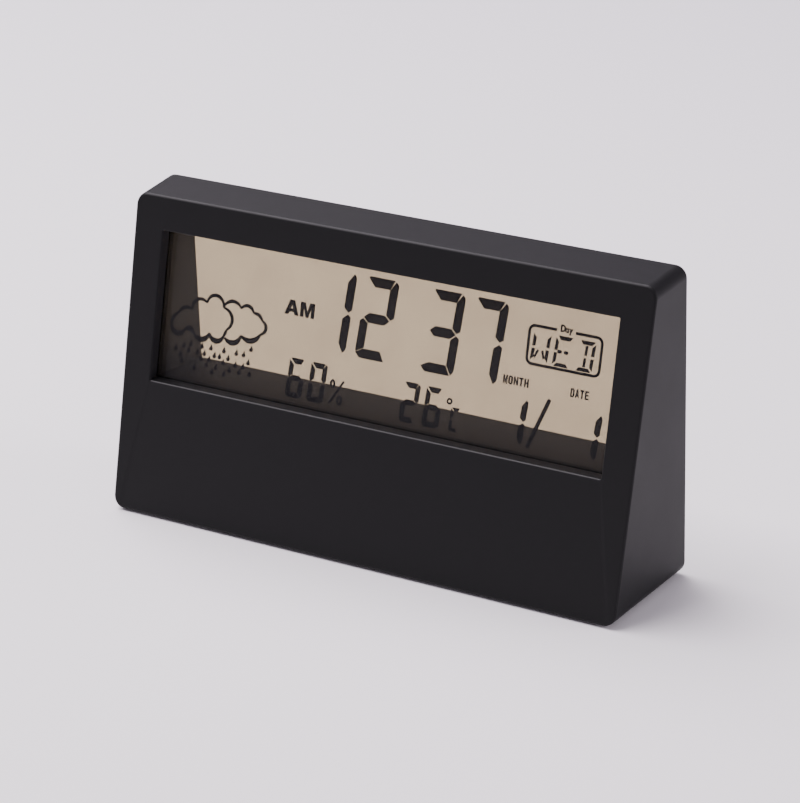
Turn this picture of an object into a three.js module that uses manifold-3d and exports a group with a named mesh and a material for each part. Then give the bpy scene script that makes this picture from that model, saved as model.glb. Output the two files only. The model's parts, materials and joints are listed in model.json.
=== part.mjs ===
// A see-through weather station clock: a black wedge-shaped case with a clear liquid crystal
// display in a window that goes right through it.
//
// Millimetres, +X to the right, +Y to the back, +Z up. The front face leans back and the back is
// upright. Pieces are placed from the middle of the case's front bottom edge, and one group at the
// end moves that point so that the origin is under the middle of the finished clock.

import * as THREE from "three";
import { mergeVertices } from "three/addons/utils/BufferGeometryUtils.js";
import Module from "manifold-3d";

const wasm = await Module();
wasm.setup();

// Case
const caseWidth = 135;
const caseHeight = 72.7;
const caseDepth = 32;
const frontSetBack = 18.8; // the front face's top edge stands this far behind its bottom edge
const caseWall = 2;
const caseCornerRadius = 2.8;
const sideDraft = 0.045; // the sides and top spread this far for each millimetre of depth
const caseEdgeRadius = 1.1;
const rimWall = 1.4; // the wall left outside the rear cover
const pieceGap = 0.3; // between pieces that would otherwise rub or cut each other

// Window and display
const sideBar = 8.65; // from the case's widest place to the window
const topBar = 8.25;
const chinHeight = 30.5; // from the base to the window's sill
const recess = 3.4; // from the front face back to the display, level
const glassThickness = 0.7;
const polariserThickness = 0.2;
const glueFilm = 0.05; // between the sheets of the display
const glassBorder = 3.2; // glass hidden behind the frame, at the sides
const glassBorderAbove = 2.4;
const glassBorderBelow = 1.6;
const contactLedge = 3; // front glass below the rear glass, where the ribbon is bonded
const polariserBorder = 1.4;
const polariserSideBorder = 2.4;
const gasketThickness = 1;
const gasketWidth = 1.5;
const locatingLip = 1.2; // the frame's rib around the glass
const locatingLipDepth = 0.6;

// Rear cover and its light well
const coverThickness = 1.8;
const coverInset = 1; // the rim stands this far behind the cover
const coverGap = 0.2;
const wellWall = 1.5;
const wellSideMargin = 1.4; // the well's front edge stands this far outside the window
const wellMargin = 0.4; // the same above and below
const wellSideFrame = 7.25; // from the case's side to the well's rear edge
const wellTopFrame = 5;
const floorOverBattery = 2.5; // from the battery bay's ceiling to the well's rear edge
const topTabWidth = 8;
const topTabLength = 4;
const topTabThickness = 1;
const topTabSpacing = 44;

// Battery bay, door and cells (two AAA cells, one above the other)
const cellDiameter = 10.5;
const cellLength = 44.5;
const cellNubDiameter = 3.8;
const cellNubHeight = 0.8;
const cellGap = 0.2;
const bayWall = 1;
const doorThickness = 1.5;
const doorLedge = 0.8;
const doorTabWidth = 6;
const doorTabSpacing = 30;
const doorTabThickness = 0.8;
const doorTabReach = 1;
const doorRidgeHeight = 0.3;
const doorRidgeCount = 3;
const doorRidgeSpacing = 1.6;
const doorRidgeWidth = 9;
const fingerNotchWidth = 12;
const fingerNotchDepth = 0.9;
const contactThickness = 0.4;
const contactHeight = 8;
const contactWidth = 7.4;
const solderTabWidth = 2.6;
const springRoom = 4.2; // length left for a squeezed spring
const springWire = 0.6;
const springBaseRadius = 3.2;
const springTipRadius = 1.9;
const springTurns = 3.5;
const leadDiameter = 1.1;
const solderTabProud = 1.8; // in front of the bay's front wall
const leadBow = 0.6; // how far the leads bow forward of the tabs
const leadTurn = 2; // length taken by the turn at the tab
const leadDrop = 3; // from the last turn back to the board
const leadEndTurn = 1;
const leadPadHeight = 6; // from the board's lower edge to the lower lead's pad
const leadPadSpacing = 3;

// Case screws and feet
const bossRadius = 3;
const bossInset = 6.6; // from the case's side to a screw's middle
const lowerBossHeight = 5.8;
const caseScrewRadius = 1.1;
const caseScrewLength = 8;
const caseScrewHeadRadius = 2.1;
const caseScrewHeadHeight = 0.9;
const screwHoleGap = 0.15;
const headGap = 0.3;
const counterboreDepth = 1;
const footDiameter = 8;
const footThickness = 1.4;
const footProud = 0.6;
const footInsetX = 11;
const footInsetY = 6.5;

// Buttons, switches and board
const buttonCount = 5;
const buttonSpacing = 1.5; // between the lips of two keys
const buttonHeight = 4.2;
const buttonProud = 0.8;
const buttonFlange = 0.8; // lip behind the cover, all round
const buttonFlangeThickness = 0.8;
const buttonGap = 0.25;
const buttonRowDrop = 7; // from the battery bay's ceiling down to the row's middle
const buttonTravel = 0.5;
const switchWidth = 6;
const switchBodyHeight = 3.5;
const plungerRadius = 1.7;
const plungerProud = 1.5;
const plungerInside = 1.2;
const stemLength = 1.4;
const boardThickness = 1.6;
const boardMargin = 4; // from the case's floor to the board, and from the bay to the board
const boardTopGap = 0.6; // under the level of the battery bay's ceiling
const boardPostRadius = 2;
const boardPostInset = 2.5;
const boardScrewRadius = 0.8;
const boardScrewLength = 5;
const boardScrewHeadRadius = 1.6;
const boardScrewHeadHeight = 1.1;
const ribbonWidth = 40;
const ribbonThickness = 0.3;
const ribbonBond = 2.2; // bonded length on the contact ledge
const socketHeight = 3;
const socketDepth = 2.6;
const socketBorder = 1.5;
const crystalLength = 6;
const crystalRadius = 1;
const capacitorLength = 5.4;
const capacitorRadius = 2;
const buzzerRadius = 4.5;
const buzzerHeight = 4;
const soundHoleRadius = 0.6;
const soundHoleRing = 2.4;
const ventCount = 6;
const ventWidth = 1.2;
const ventHeight = 6.5;
const ventPitch = 2.4;
const sensorWidth = 5;
const sensorHeight = 2;
const sensorWindow = 2.6;
const lowerRowHeight = 9.5; // buzzer, sensor and vents, above the case's underside

// Worked out from the sizes above
const frontSlope = frontSetBack / caseHeight;
const frontLean = Math.atan(frontSlope);
const wallAlongY = caseWall / Math.cos(frontLean);
const windowHalf = caseWidth / 2 - sideBar;
const windowTop = caseHeight - topBar;
const windowRise = windowTop - chinHeight;
const sillY = frontSlope * chinHeight + recess; // the display's front at the sill
const headY = frontSlope * windowTop + recess; // the display's front at the window's top
const displayLean = frontLean; // the display is parallel to the front face
const windowLength = windowRise / Math.cos(displayLean); // up the display
const coverOuterY = caseDepth - coverInset;
const coverInnerY = coverOuterY - coverThickness;

const glassHalf = windowHalf + glassBorder;
const glassTop = windowLength + glassBorderAbove;
const rearGlassBottom = -glassBorderBelow;
const frontGlassBottom = rearGlassBottom - contactLedge;
const frontGlassY = polariserThickness + glueFilm;
const rearGlassY = frontGlassY + glassThickness + glueFilm;
const rearPolariserY = rearGlassY + glassThickness + glueFilm;
const gasketY = rearPolariserY + polariserThickness + glueFilm;
const wellStart = gasketY + gasketThickness + pieceGap; // behind the display's front

const bossX = caseWidth / 2 - bossInset;
const bayFloor = caseWall + pieceGap + bayWall;
const bayCeiling = bayFloor + 2 * cellDiameter + 3 * cellGap;
const bayLength = cellLength + springRoom + 2 * (contactThickness + pieceGap) + cellGap;
const bayLeft = -bossX + bossRadius + pieceGap + bayWall + doorLedge + 1;
const bayRight = bayLeft + bayLength;
const bayMiddle = (bayLeft + bayRight) / 2;
const bayFrontY = coverOuterY - doorThickness - pieceGap - cellDiameter - 2 * cellGap;
const doorBottom = bayFloor + pieceGap;
const doorTop = bayCeiling - pieceGap;
const wellRearHalf = caseWidth / 2 - wellSideFrame;
const wellRearTop = caseHeight - wellTopFrame;
const wellRearBottom = bayCeiling + floorOverBattery;

const boardLeft = bayRight + bayWall + boardMargin;
const boardRight = bossX - bossRadius - pieceGap - 0.5;
const boardBottom = caseWall + 2;
const boardTop = bayCeiling - boardTopGap;
const flangeRearY = coverInnerY - pieceGap;
const flangeFrontY = flangeRearY - buttonFlangeThickness;
const stemFrontY = flangeFrontY - stemLength;
const plungerRearY = stemFrontY - pieceGap;
const boardRearY = plungerRearY - plungerProud - switchBodyHeight;
const boardFrontY = boardRearY - boardThickness;
const buttonRowZ = bayCeiling - buttonRowDrop;
const buttonStart = boardLeft + 2 * boardPostInset + switchWidth / 2;
const buttonEnd = boardRight - 2 * boardPostInset - switchWidth / 2;
const buttonPitch = (buttonEnd - buttonStart) / (buttonCount - 1);
const buttonWidth = buttonPitch - 2 * buttonFlange - buttonSpacing;
const lowerRowZ = caseWall + lowerRowHeight - 2;
const buzzerX = boardLeft + (boardRight - boardLeft) * 0.22;
const sensorX = boardLeft + (boardRight - boardLeft) * 0.72;

const blackPlastic = { color: 0x262628, roughness: 0.55, metalness: 0 };
const keyPlastic = { color: 0x1d1d1f, roughness: 0.5, metalness: 0 };
const rubber = { color: 0x161616, roughness: 0.9, metalness: 0 };
const glass = { color: 0xc8bfae, roughness: 0.05, metalness: 0 };
const film = { color: 0xb8ad9a, roughness: 0.1, metalness: 0 };
const steel = { color: 0xb4b6b8, roughness: 0.35, metalness: 1 };
const circuitBoard = { color: 0x2f6b45, roughness: 0.5, metalness: 0 };
const epoxy = { color: 0x101012, roughness: 0.4, metalness: 0 };
const paleResin = { color: 0xe6e2d8, roughness: 0.6, metalness: 0 };
const ribbonFilm = { color: 0xb98a4a, roughness: 0.4, metalness: 0 };
const cellSleeve = { color: 0x6f7378, roughness: 0.35, metalness: 0.4 };
const redInsulation = { color: 0xa02020, roughness: 0.6, metalness: 0 };
const darkInsulation = { color: 0x1a1a1a, roughness: 0.6, metalness: 0 };

// Solids

function toSolid(geometry) {
  const bare = geometry.index ? geometry.toNonIndexed() : geometry.clone();
  bare.deleteAttribute("normal");
  bare.deleteAttribute("uv");
  const merged = mergeVertices(bare, 1e-4);
  return new wasm.Manifold(
    new wasm.Mesh({
      numProp: 3,
      vertProperties: new Float32Array(merged.attributes.position.array),
      triVerts: new Uint32Array(merged.index.array),
    }),
  );
}

function toGeometry(solid) {
  const mesh = solid.getMesh();
  const geometry = new THREE.BufferGeometry();
  geometry.setAttribute("position", new THREE.BufferAttribute(mesh.vertProperties, 3));
  geometry.setIndex(new THREE.BufferAttribute(mesh.triVerts, 1));
  geometry.computeVertexNormals();
  return geometry;
}

function join(first, ...others) {
  return others.reduce((whole, next) => whole.add(toSolid(next)), first);
}

function cut(first, ...others) {
  return others.reduce((whole, next) => whole.subtract(toSolid(next)), first);
}

function block(x0, x1, y0, y1, z0, z1) {
  const geometry = new THREE.BoxGeometry(x1 - x0, y1 - y0, z1 - z0);
  geometry.translate((x0 + x1) / 2, (y0 + y1) / 2, (z0 + z1) / 2);
  return geometry;
}

// A round bar along Y. sides is even, so that it is as wide along X as along Z.
function barAlongY(radius, x, z, y0, y1, sides = 20) {
  const geometry = new THREE.CylinderGeometry(radius, radius, y1 - y0, sides);
  geometry.translate(x, (y0 + y1) / 2, z);
  return geometry;
}

// A turned piece along Y, from a profile of [radius, y] that starts and ends on the axis.
function turnedAlongY(profile, x, z, sides = 20) {
  const points = profile.map(([radius, y]) => new THREE.Vector2(radius, y));
  const geometry = new THREE.LatheGeometry(points, sides);
  geometry.translate(x, 0, z);
  return geometry;
}

function roundedOutline(x0, x1, z0, z1, radius) {
  const shape = new THREE.Shape();
  shape.moveTo(x0 + radius, z0);
  shape.absarc(x1 - radius, z0 + radius, radius, -Math.PI / 2, 0);
  shape.absarc(x1 - radius, z1 - radius, radius, 0, Math.PI / 2);
  shape.absarc(x0 + radius, z1 - radius, radius, Math.PI / 2, Math.PI);
  shape.absarc(x0 + radius, z0 + radius, radius, Math.PI, 1.5 * Math.PI);
  return shape;
}

// A flat plate from y0 to y1 with an outline in X and Z, and its edges rounded where bevel > 0.
function plate(outline, y0, y1, bevel = 0, curveSegments = 4) {
  const geometry = new THREE.ExtrudeGeometry(outline, {
    depth: y1 - y0 - 2 * bevel,
    bevelEnabled: bevel > 0,
    bevelThickness: bevel,
    bevelSize: bevel,
    bevelOffset: -bevel,
    bevelSegments: 3,
    curveSegments,
  });
  geometry.rotateX(Math.PI / 2);
  geometry.translate(0, y1 - bevel, 0);
  return geometry;
}

// Gives a plate the case's shape: the front half leans back with the front face, and the sides and
// top come closer together towards the front.
function shapeLikeCase(geometry) {
  const position = geometry.attributes.position;
  for (let i = 0; i < position.count; i += 1) {
    const x = position.getX(i);
    const flatY = position.getY(i);
    const flatZ = position.getZ(i);
    const slope = flatY < caseDepth / 2 ? frontSlope : 0;
    const draft = flatZ > caseHeight / 2 ? sideDraft : 0;
    const z = (flatZ - draft * (caseDepth - flatY)) / (1 - draft * slope);
    const y = flatY + slope * z;
    position.setXYZ(i, x - Math.sign(x) * sideDraft * (caseDepth - y), y, z);
  }
  return geometry;
}

// A six-sided block between two rings of four corners, each counter-clockwise seen from the front.
function sleeve(frontRing, rearRing) {
  const corners = [...frontRing, ...rearRing];
  const faces = [
    [0, 1, 2], [0, 2, 3],
    [4, 6, 5], [4, 7, 6],
    [0, 4, 5], [0, 5, 1],
    [1, 5, 6], [1, 6, 2],
    [2, 6, 7], [2, 7, 3],
    [3, 7, 4], [3, 4, 0],
  ];
  const geometry = new THREE.BufferGeometry();
  const positions = faces.flat().flatMap((corner) => corners[corner].toArray());
  geometry.setAttribute("position", new THREE.Float32BufferAttribute(positions, 3));
  return geometry;
}

// A tube of one diameter along a curve.
function tube(curve, diameter, steps, sides) {
  const section = new THREE.Shape();
  for (let i = 0; i < sides; i += 1) {
    const angle = (2 * Math.PI * i) / sides;
    const x = (Math.cos(angle) * diameter) / 2;
    const y = (Math.sin(angle) * diameter) / 2;
    if (i === 0) {
      section.moveTo(x, y);
    } else {
      section.lineTo(x, y);
    }
  }
  section.closePath();
  return new THREE.ExtrudeGeometry(section, { steps, bevelEnabled: false, extrudePath: curve });
}

const clock = new THREE.Group();
const caseGroup = new THREE.Group();
const foremostY = frontSlope * caseEdgeRadius; // where the rounded bottom edge meets the front face
caseGroup.position.set(0, -(foremostY + caseDepth) / 2, footProud);
clock.add(caseGroup);

// The display's own frame: its origin is on the display's front, at the middle of the sill,
// with Y through the glass to the back and Z up the glass.
const displayGroup = new THREE.Group();
displayGroup.position.set(0, sillY, chinHeight);
displayGroup.rotation.x = -displayLean;
displayGroup.updateMatrix();
caseGroup.add(displayGroup);

function addPiece(group, name, shape, look) {
  const geometry = shape.isBufferGeometry ? shape : toGeometry(shape);
  const mesh = new THREE.Mesh(geometry, new THREE.MeshStandardMaterial(look));
  mesh.name = name;
  group.add(mesh);
}

function fromDisplay(geometry) {
  return geometry.applyMatrix4(displayGroup.matrix);
}

// Four corners of an upright rectangle, counter-clockwise seen from the front.
function ring(half, bottom, top, y) {
  return [
    new THREE.Vector3(-half, y, bottom),
    new THREE.Vector3(half, y, bottom),
    new THREE.Vector3(half, y, top),
    new THREE.Vector3(-half, y, top),
  ];
}

function displayRing(half, bottom, top, y) {
  return ring(half, bottom, top, y).map((corner) => corner.applyMatrix4(displayGroup.matrix));
}

function footPlaces() {
  const x = caseWidth / 2 - footInsetX;
  return [
    ["front_left", -x, footInsetY],
    ["front_right", x, footInsetY],
    ["rear_left", -x, caseDepth - footInsetY],
    ["rear_right", x, caseDepth - footInsetY],
  ];
}

const upperBossHeight =
  chinHeight +
  (frontGlassBottom - pieceGap - locatingLip) * Math.cos(displayLean) -
  locatingLipDepth * Math.sin(displayLean) -
  bossRadius -
  pieceGap;

function caseScrewPlaces() {
  return [
    ["lower_left", -bossX, lowerBossHeight],
    ["lower_right", bossX, lowerBossHeight],
    ["upper_left", -bossX, upperBossHeight],
    ["upper_right", bossX, upperBossHeight],
  ];
}

// Front shell

function makeFrontShell() {
  const outside = shapeLikeCase(
    plate(
      roundedOutline(-caseWidth / 2, caseWidth / 2, 0, caseHeight, caseCornerRadius),
      0,
      caseDepth,
      caseEdgeRadius,
    ),
  );
  const outer = toSolid(outside);
  const innerHalf = caseWidth / 2 - caseWall;
  const beyond = caseDepth + 5;
  const room = shapeLikeCase(
    plate(
      roundedOutline(-innerHalf, innerHalf, caseWall, caseHeight - caseWall, 0.8),
      wallAlongY,
      beyond,
    ),
  );
  const rimHalf = caseWidth / 2 - rimWall;
  const rebate = plate(
    roundedOutline(-rimHalf, rimHalf, rimWall, caseHeight - rimWall, caseCornerRadius - rimWall),
    coverInnerY,
    beyond,
  );
  let shell = cut(outer, room, rebate);

  // A land round the window carries the display's glass, and a lip round the land centres it.
  const landHalf = glassHalf + pieceGap + locatingLip;
  const landBottom = frontGlassBottom - pieceGap - locatingLip;
  const landTop = glassTop + pieceGap + locatingLip;
  const land = fromDisplay(
    block(-landHalf, landHalf, -caseDepth / 2, locatingLipDepth, landBottom, landTop),
  );
  shell = shell.add(toSolid(land).intersect(outer));
  const pocket = fromDisplay(
    block(
      -glassHalf - pieceGap,
      glassHalf + pieceGap,
      -pieceGap,
      wellStart,
      frontGlassBottom - pieceGap,
      glassTop + pieceGap,
    ),
  );
  const window = block(-windowHalf, windowHalf, -1, headY + glassThickness, chinHeight, windowTop);
  shell = cut(shell, pocket, window);

  for (const [, x, z] of caseScrewPlaces()) {
    const boss = barAlongY(bossRadius, x, z, frontSlope * z + caseWall / 2, coverInnerY);
    const hole = barAlongY(
      caseScrewRadius + screwHoleGap,
      x,
      z,
      coverInnerY - caseScrewLength - 1,
      coverInnerY + 1,
      12,
    );
    shell = cut(shell.add(toSolid(boss).intersect(outer)), hole);
  }
  for (const [, x, y] of footPlaces()) {
    const seat = new THREE.CylinderGeometry(
      footDiameter / 2 + pieceGap,
      footDiameter / 2 + pieceGap,
      2 * (footThickness - footProud),
      24,
    );
    seat.rotateX(Math.PI / 2);
    seat.translate(x, y, 0);
    shell = cut(shell, seat);
  }
  return shell;
}

// Rear cover, with the light well and the battery bay in one moulding

function buttonPlaces() {
  const places = [];
  for (let i = 0; i < buttonCount; i += 1) {
    places.push([i + 1, buttonStart + i * buttonPitch]);
  }
  return places;
}

function boardPostPlaces() {
  const x0 = boardLeft + boardPostInset;
  const x1 = boardRight - boardPostInset;
  const z0 = boardBottom + boardPostInset;
  const z1 = boardTop - boardPostInset;
  return [
    [1, x0, z0],
    [2, x1, z0],
    [3, x0, z1],
    [4, x1, z1],
  ];
}

function buttonOutline(x, grow) {
  const halfWidth = buttonWidth / 2 + grow;
  const halfHeight = buttonHeight / 2 + grow;
  return roundedOutline(
    x - halfWidth,
    x + halfWidth,
    buttonRowZ - halfHeight,
    buttonRowZ + halfHeight,
    Math.min(halfWidth, halfHeight) * 0.98,
  );
}

function soundHolePlaces() {
  const places = [[buzzerX, lowerRowZ]];
  for (let i = 0; i < 6; i += 1) {
    const angle = (Math.PI / 3) * i;
    places.push([
      buzzerX + soundHoleRing * Math.cos(angle),
      lowerRowZ + soundHoleRing * Math.sin(angle),
    ]);
  }
  return places;
}

function doorTabPlaces() {
  return [bayMiddle - doorTabSpacing / 2, bayMiddle + doorTabSpacing / 2];
}

function cellHeights() {
  const lower = bayFloor + cellGap + cellDiameter / 2;
  return [lower, lower + cellDiameter + cellGap];
}

function makeRearCover() {
  const edge = rimWall + coverGap;
  const half = caseWidth / 2 - edge;
  const beyond = caseDepth + 2;
  let cover = toSolid(
    plate(
      roundedOutline(-half, half, edge, caseHeight - edge, caseCornerRadius - rimWall),
      coverInnerY,
      coverOuterY,
    ),
  );
  const wellOutside = sleeve(
    displayRing(
      windowHalf + wellSideMargin + wellWall,
      -wellMargin - wellWall,
      windowLength + wellMargin + wellWall,
      wellStart,
    ),
    ring(
      wellRearHalf + wellWall,
      wellRearBottom - wellWall,
      wellRearTop + wellWall,
      coverInnerY + coverThickness / 2,
    ),
  );
  const bayOutside = block(
    bayLeft - bayWall,
    bayRight + bayWall,
    bayFrontY - bayWall,
    coverInnerY + coverThickness / 2,
    bayFloor - bayWall,
    bayCeiling + bayWall,
  );
  cover = join(cover, wellOutside, bayOutside);
  for (let i = -1; i <= 1; i += 1) {
    const draft = sideDraft * (coverInset + coverThickness + topTabLength);
    const top = caseHeight - caseWall - pieceGap - draft;
    const tab = block(
      i * topTabSpacing - topTabWidth / 2,
      i * topTabSpacing + topTabWidth / 2,
      coverInnerY - topTabLength,
      coverOuterY - coverThickness / 2,
      top - topTabThickness,
      top,
    );
    cover = join(cover, tab);
  }
  for (const [, x, z] of boardPostPlaces()) {
    cover = join(cover, barAlongY(boardPostRadius, x, z, boardRearY, coverInnerY + 0.5));
    cover = cut(
      cover,
      barAlongY(
        boardScrewRadius + screwHoleGap,
        x,
        z,
        boardRearY - 1,
        boardRearY + boardScrewLength,
        10,
      ),
    );
  }
  const wellInside = sleeve(
    displayRing(
      windowHalf + wellSideMargin,
      -wellMargin,
      windowLength + wellMargin,
      wellStart - 0.5,
    ),
    ring(wellRearHalf, wellRearBottom, wellRearTop, coverOuterY + 0.5),
  );
  const bayInside = block(bayLeft, bayRight, bayFrontY, beyond, bayFloor, bayCeiling);
  const doorway = block(
    bayLeft - doorLedge,
    bayRight + doorLedge,
    coverInnerY,
    beyond,
    bayFloor,
    bayCeiling,
  );
  const fingerNotch = block(
    bayMiddle - fingerNotchWidth / 2,
    bayMiddle + fingerNotchWidth / 2,
    coverOuterY - fingerNotchDepth,
    beyond,
    bayCeiling - 0.5,
    bayCeiling + floorOverBattery - 0.6,
  );
  cover = cut(cover, wellInside, bayInside, doorway, fingerNotch);
  for (const x of doorTabPlaces()) {
    const halfSlot = doorTabWidth / 2 + pieceGap;
    cover = cut(
      cover,
      block(x - halfSlot, x + halfSlot, coverInnerY - 3, coverInnerY, bayFloor - 2, bayFloor + 0.5),
    );
  }
  const [lowerCell, upperCell] = cellHeights();
  for (const z of [lowerCell, upperCell]) {
    const x = bayRight - pieceGap - contactThickness / 2;
    cover = cut(
      cover,
      block(
        x - contactThickness / 2 - pieceGap,
        x + contactThickness / 2 + pieceGap,
        bayFrontY - bayWall - 1,
        bayFrontY + 1,
        z - solderTabWidth / 2 - pieceGap,
        z + solderTabWidth / 2 + pieceGap,
      ),
    );
  }
  for (const [, x, z] of caseScrewPlaces()) {
    cover = cut(
      cover,
      barAlongY(caseScrewHeadRadius + headGap, x, z, coverOuterY - counterboreDepth, beyond),
      barAlongY(caseScrewRadius + screwHoleGap, x, z, coverInnerY - 1, beyond, 12),
    );
  }
  for (const [, x] of buttonPlaces()) {
    cover = cut(cover, plate(buttonOutline(x, buttonGap), coverInnerY - 1, beyond));
  }
  for (const [x, z] of soundHolePlaces()) {
    cover = cut(cover, barAlongY(soundHoleRadius, x, z, coverInnerY - 1, beyond, 8));
  }
  for (let i = 0; i < ventCount; i += 1) {
    const x = sensorX + (i - (ventCount - 1) / 2) * ventPitch;
    cover = cut(
      cover,
      block(
        x - ventWidth / 2,
        x + ventWidth / 2,
        coverInnerY - 1,
        beyond,
        lowerRowZ - ventHeight / 2,
        lowerRowZ + ventHeight / 2,
      ),
    );
  }
  return cover;
}

// Battery door: a plate with two hooks below, grip ridges and a latch edge on top

function makeBatteryDoor() {
  const left = bayLeft - doorLedge + pieceGap;
  const right = bayRight + doorLedge - pieceGap;
  const inner = coverOuterY - doorThickness;
  let door = toSolid(
    plate(roundedOutline(left, right, doorBottom, doorTop, 0.8), inner, coverOuterY),
  );
  for (const x of doorTabPlaces()) {
    const x0 = x - doorTabWidth / 2;
    const x1 = x + doorTabWidth / 2;
    const rear = coverInnerY - pieceGap;
    const front = rear - doorTabThickness;
    door = join(
      door,
      block(x0, x1, front, inner + 0.5, doorBottom, doorBottom + 1.2),
      block(x0, x1, front, rear, doorBottom - doorTabReach, doorBottom + 1.2),
    );
  }
  for (let i = 0; i < doorRidgeCount; i += 1) {
    const z = doorTop - 2.4 - i * doorRidgeSpacing;
    door = join(
      door,
      block(
        bayMiddle - doorRidgeWidth / 2,
        bayMiddle + doorRidgeWidth / 2,
        coverOuterY - 0.5,
        coverOuterY + doorRidgeHeight,
        z - 0.3,
        z + 0.3,
      ),
    );
  }
  return door;
}

// Cells and contacts

function makeCell(z, nubToRight) {
  const radius = cellDiameter / 2;
  const y = bayFrontY + cellGap + radius;
  const profile = [
    [0, 0],
    [radius - 0.8, 0],
    [radius, 0.5],
    [radius, cellLength - cellNubHeight - 0.5],
    [radius - 0.5, cellLength - cellNubHeight],
    [cellNubDiameter / 2, cellLength - cellNubHeight],
    [cellNubDiameter / 2, cellLength - 0.2],
    [cellNubDiameter / 2 - 0.2, cellLength],
    [0, cellLength],
  ];
  const geometry = turnedAlongY(profile, 0, 0, 28);
  geometry.rotateZ(nubToRight ? -Math.PI / 2 : Math.PI / 2);
  const plateFace = contactThickness + 2 * pieceGap;
  const start = nubToRight ? bayRight - plateFace - cellLength : bayLeft + plateFace + cellLength;
  geometry.translate(start, y, z);
  return geometry;
}

// side is 1 for the right wall of the bay and -1 for its left wall.
function contactX(side) {
  const wallX = side > 0 ? bayRight : bayLeft;
  return wallX - side * (pieceGap + contactThickness / 2);
}

function contactPlate(side, z0, z1) {
  const x = contactX(side);
  const y = bayFrontY + cellGap + cellDiameter / 2;
  return block(
    x - contactThickness / 2,
    x + contactThickness / 2,
    y - contactWidth / 2,
    y + contactWidth / 2,
    z0,
    z1,
  );
}

function solderTab(z) {
  const x = contactX(1);
  return block(
    x - contactThickness / 2,
    x + contactThickness / 2,
    bayFrontY - bayWall - solderTabProud,
    bayFrontY + cellDiameter / 2,
    z - solderTabWidth / 2,
    z + solderTabWidth / 2,
  );
}

// A conical spring that starts inside its plate and reaches towards the cell.
class SpringCurve extends THREE.Curve {
  constructor(side, z) {
    super();
    this.side = side;
    this.z = z;
  }

  getPoint(t) {
    const length = springRoom - pieceGap - springWire / 2 + contactThickness / 2;
    const angle = 2 * Math.PI * springTurns * t;
    const radius = springBaseRadius + (springTipRadius - springBaseRadius) * t;
    return new THREE.Vector3(
      contactX(this.side) - this.side * length * t,
      bayFrontY + cellGap + cellDiameter / 2 + radius * Math.cos(angle),
      this.z + radius * Math.sin(angle),
    );
  }
}

function springContact(base, side, z) {
  const turnSteps = 10;
  const coil = tube(new SpringCurve(side, z), springWire, Math.round(springTurns * turnSteps), 6);
  return base.add(toSolid(coil));
}

function makeBatteryParts() {
  const [lower, upper] = cellHeights();
  const half = contactHeight / 2;
  addPiece(caseGroup, "battery_cell_lower", makeCell(lower, true), cellSleeve);
  addPiece(caseGroup, "battery_cell_upper", makeCell(upper, false), cellSleeve);
  const positive = join(toSolid(contactPlate(1, lower - half, lower + half)), solderTab(lower));
  addPiece(caseGroup, "contact_plate_positive", positive, steel);
  const negative = join(toSolid(contactPlate(1, upper - half, upper + half)), solderTab(upper));
  addPiece(caseGroup, "contact_spring_negative", springContact(negative, 1, upper), steel);
  const bridge = toSolid(contactPlate(-1, lower - half, upper + half));
  addPiece(caseGroup, "contact_bridge", springContact(bridge, -1, lower), steel);
}

// Leads from the solder tabs round the bay's corner to the board's front

function makeLeads() {
  const [lower, upper] = cellHeights();
  const tabX = contactX(1) + contactThickness / 2 + pieceGap + leadDiameter / 2;
  const tabY = bayFrontY - bayWall - solderTabProud + leadDiameter / 2;
  const padX = boardLeft + 2 * boardPostInset + leadDiameter;
  const padZLow = boardBottom + leadPadHeight;
  const places = [
    ["battery_lead_positive", lower, padZLow, redInsulation],
    ["battery_lead_negative", upper, padZLow + leadPadSpacing, darkInsulation],
  ];
  for (const [name, tabZ, padZ, look] of places) {
    const curve = new THREE.CatmullRomCurve3([
      new THREE.Vector3(tabX, tabY, tabZ),
      new THREE.Vector3(tabX + leadTurn, tabY - leadBow, (2 * tabZ + padZ) / 3),
      new THREE.Vector3((tabX + padX) / 2, tabY - leadBow, (tabZ + 2 * padZ) / 3),
      new THREE.Vector3(padX - leadEndTurn, boardFrontY - leadDrop, padZ),
      new THREE.Vector3(padX, boardFrontY - pieceGap, padZ),
    ]);
    addPiece(caseGroup, name, tube(curve, leadDiameter, 20, 8), look);
  }
}

// Display

function makeDisplay() {
  const filmHalf = windowHalf + polariserSideBorder;
  const filmTop = windowLength + polariserBorder;
  addPiece(
    displayGroup,
    "front_polariser",
    block(-filmHalf, filmHalf, 0, polariserThickness, -polariserBorder, filmTop),
    film,
  );
  addPiece(
    displayGroup,
    "lcd_front_glass",
    block(-glassHalf, glassHalf, frontGlassY, frontGlassY + glassThickness, frontGlassBottom, glassTop),
    glass,
  );
  addPiece(
    displayGroup,
    "lcd_rear_glass",
    block(-glassHalf, glassHalf, rearGlassY, rearGlassY + glassThickness, rearGlassBottom, glassTop),
    glass,
  );
  addPiece(
    displayGroup,
    "rear_polariser",
    block(
      -filmHalf,
      filmHalf,
      rearPolariserY,
      rearPolariserY + polariserThickness,
      -polariserBorder,
      filmTop,
    ),
    film,
  );
  const gasketHalf = windowHalf + wellSideMargin;
  const gasketTop = windowLength + wellMargin;
  const gasket = cut(
    toSolid(
      block(
        -gasketHalf - gasketWidth,
        gasketHalf + gasketWidth,
        gasketY,
        gasketY + gasketThickness,
        Math.max(-wellMargin - gasketWidth, -glassBorderBelow),
        gasketTop + gasketWidth,
      ),
    ),
    block(
      -gasketHalf,
      gasketHalf,
      gasketY - 1,
      gasketY + gasketThickness + 1,
      -wellMargin,
      gasketTop,
    ),
  );
  addPiece(displayGroup, "lcd_gasket", gasket, rubber);
}

// The ribbon bends from the contact ledge down and back to its socket on the board.

function ribbonMiddle() {
  return Math.min((boardLeft + boardRight) / 2, glassHalf - ribbonWidth / 2 - 1);
}

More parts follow.
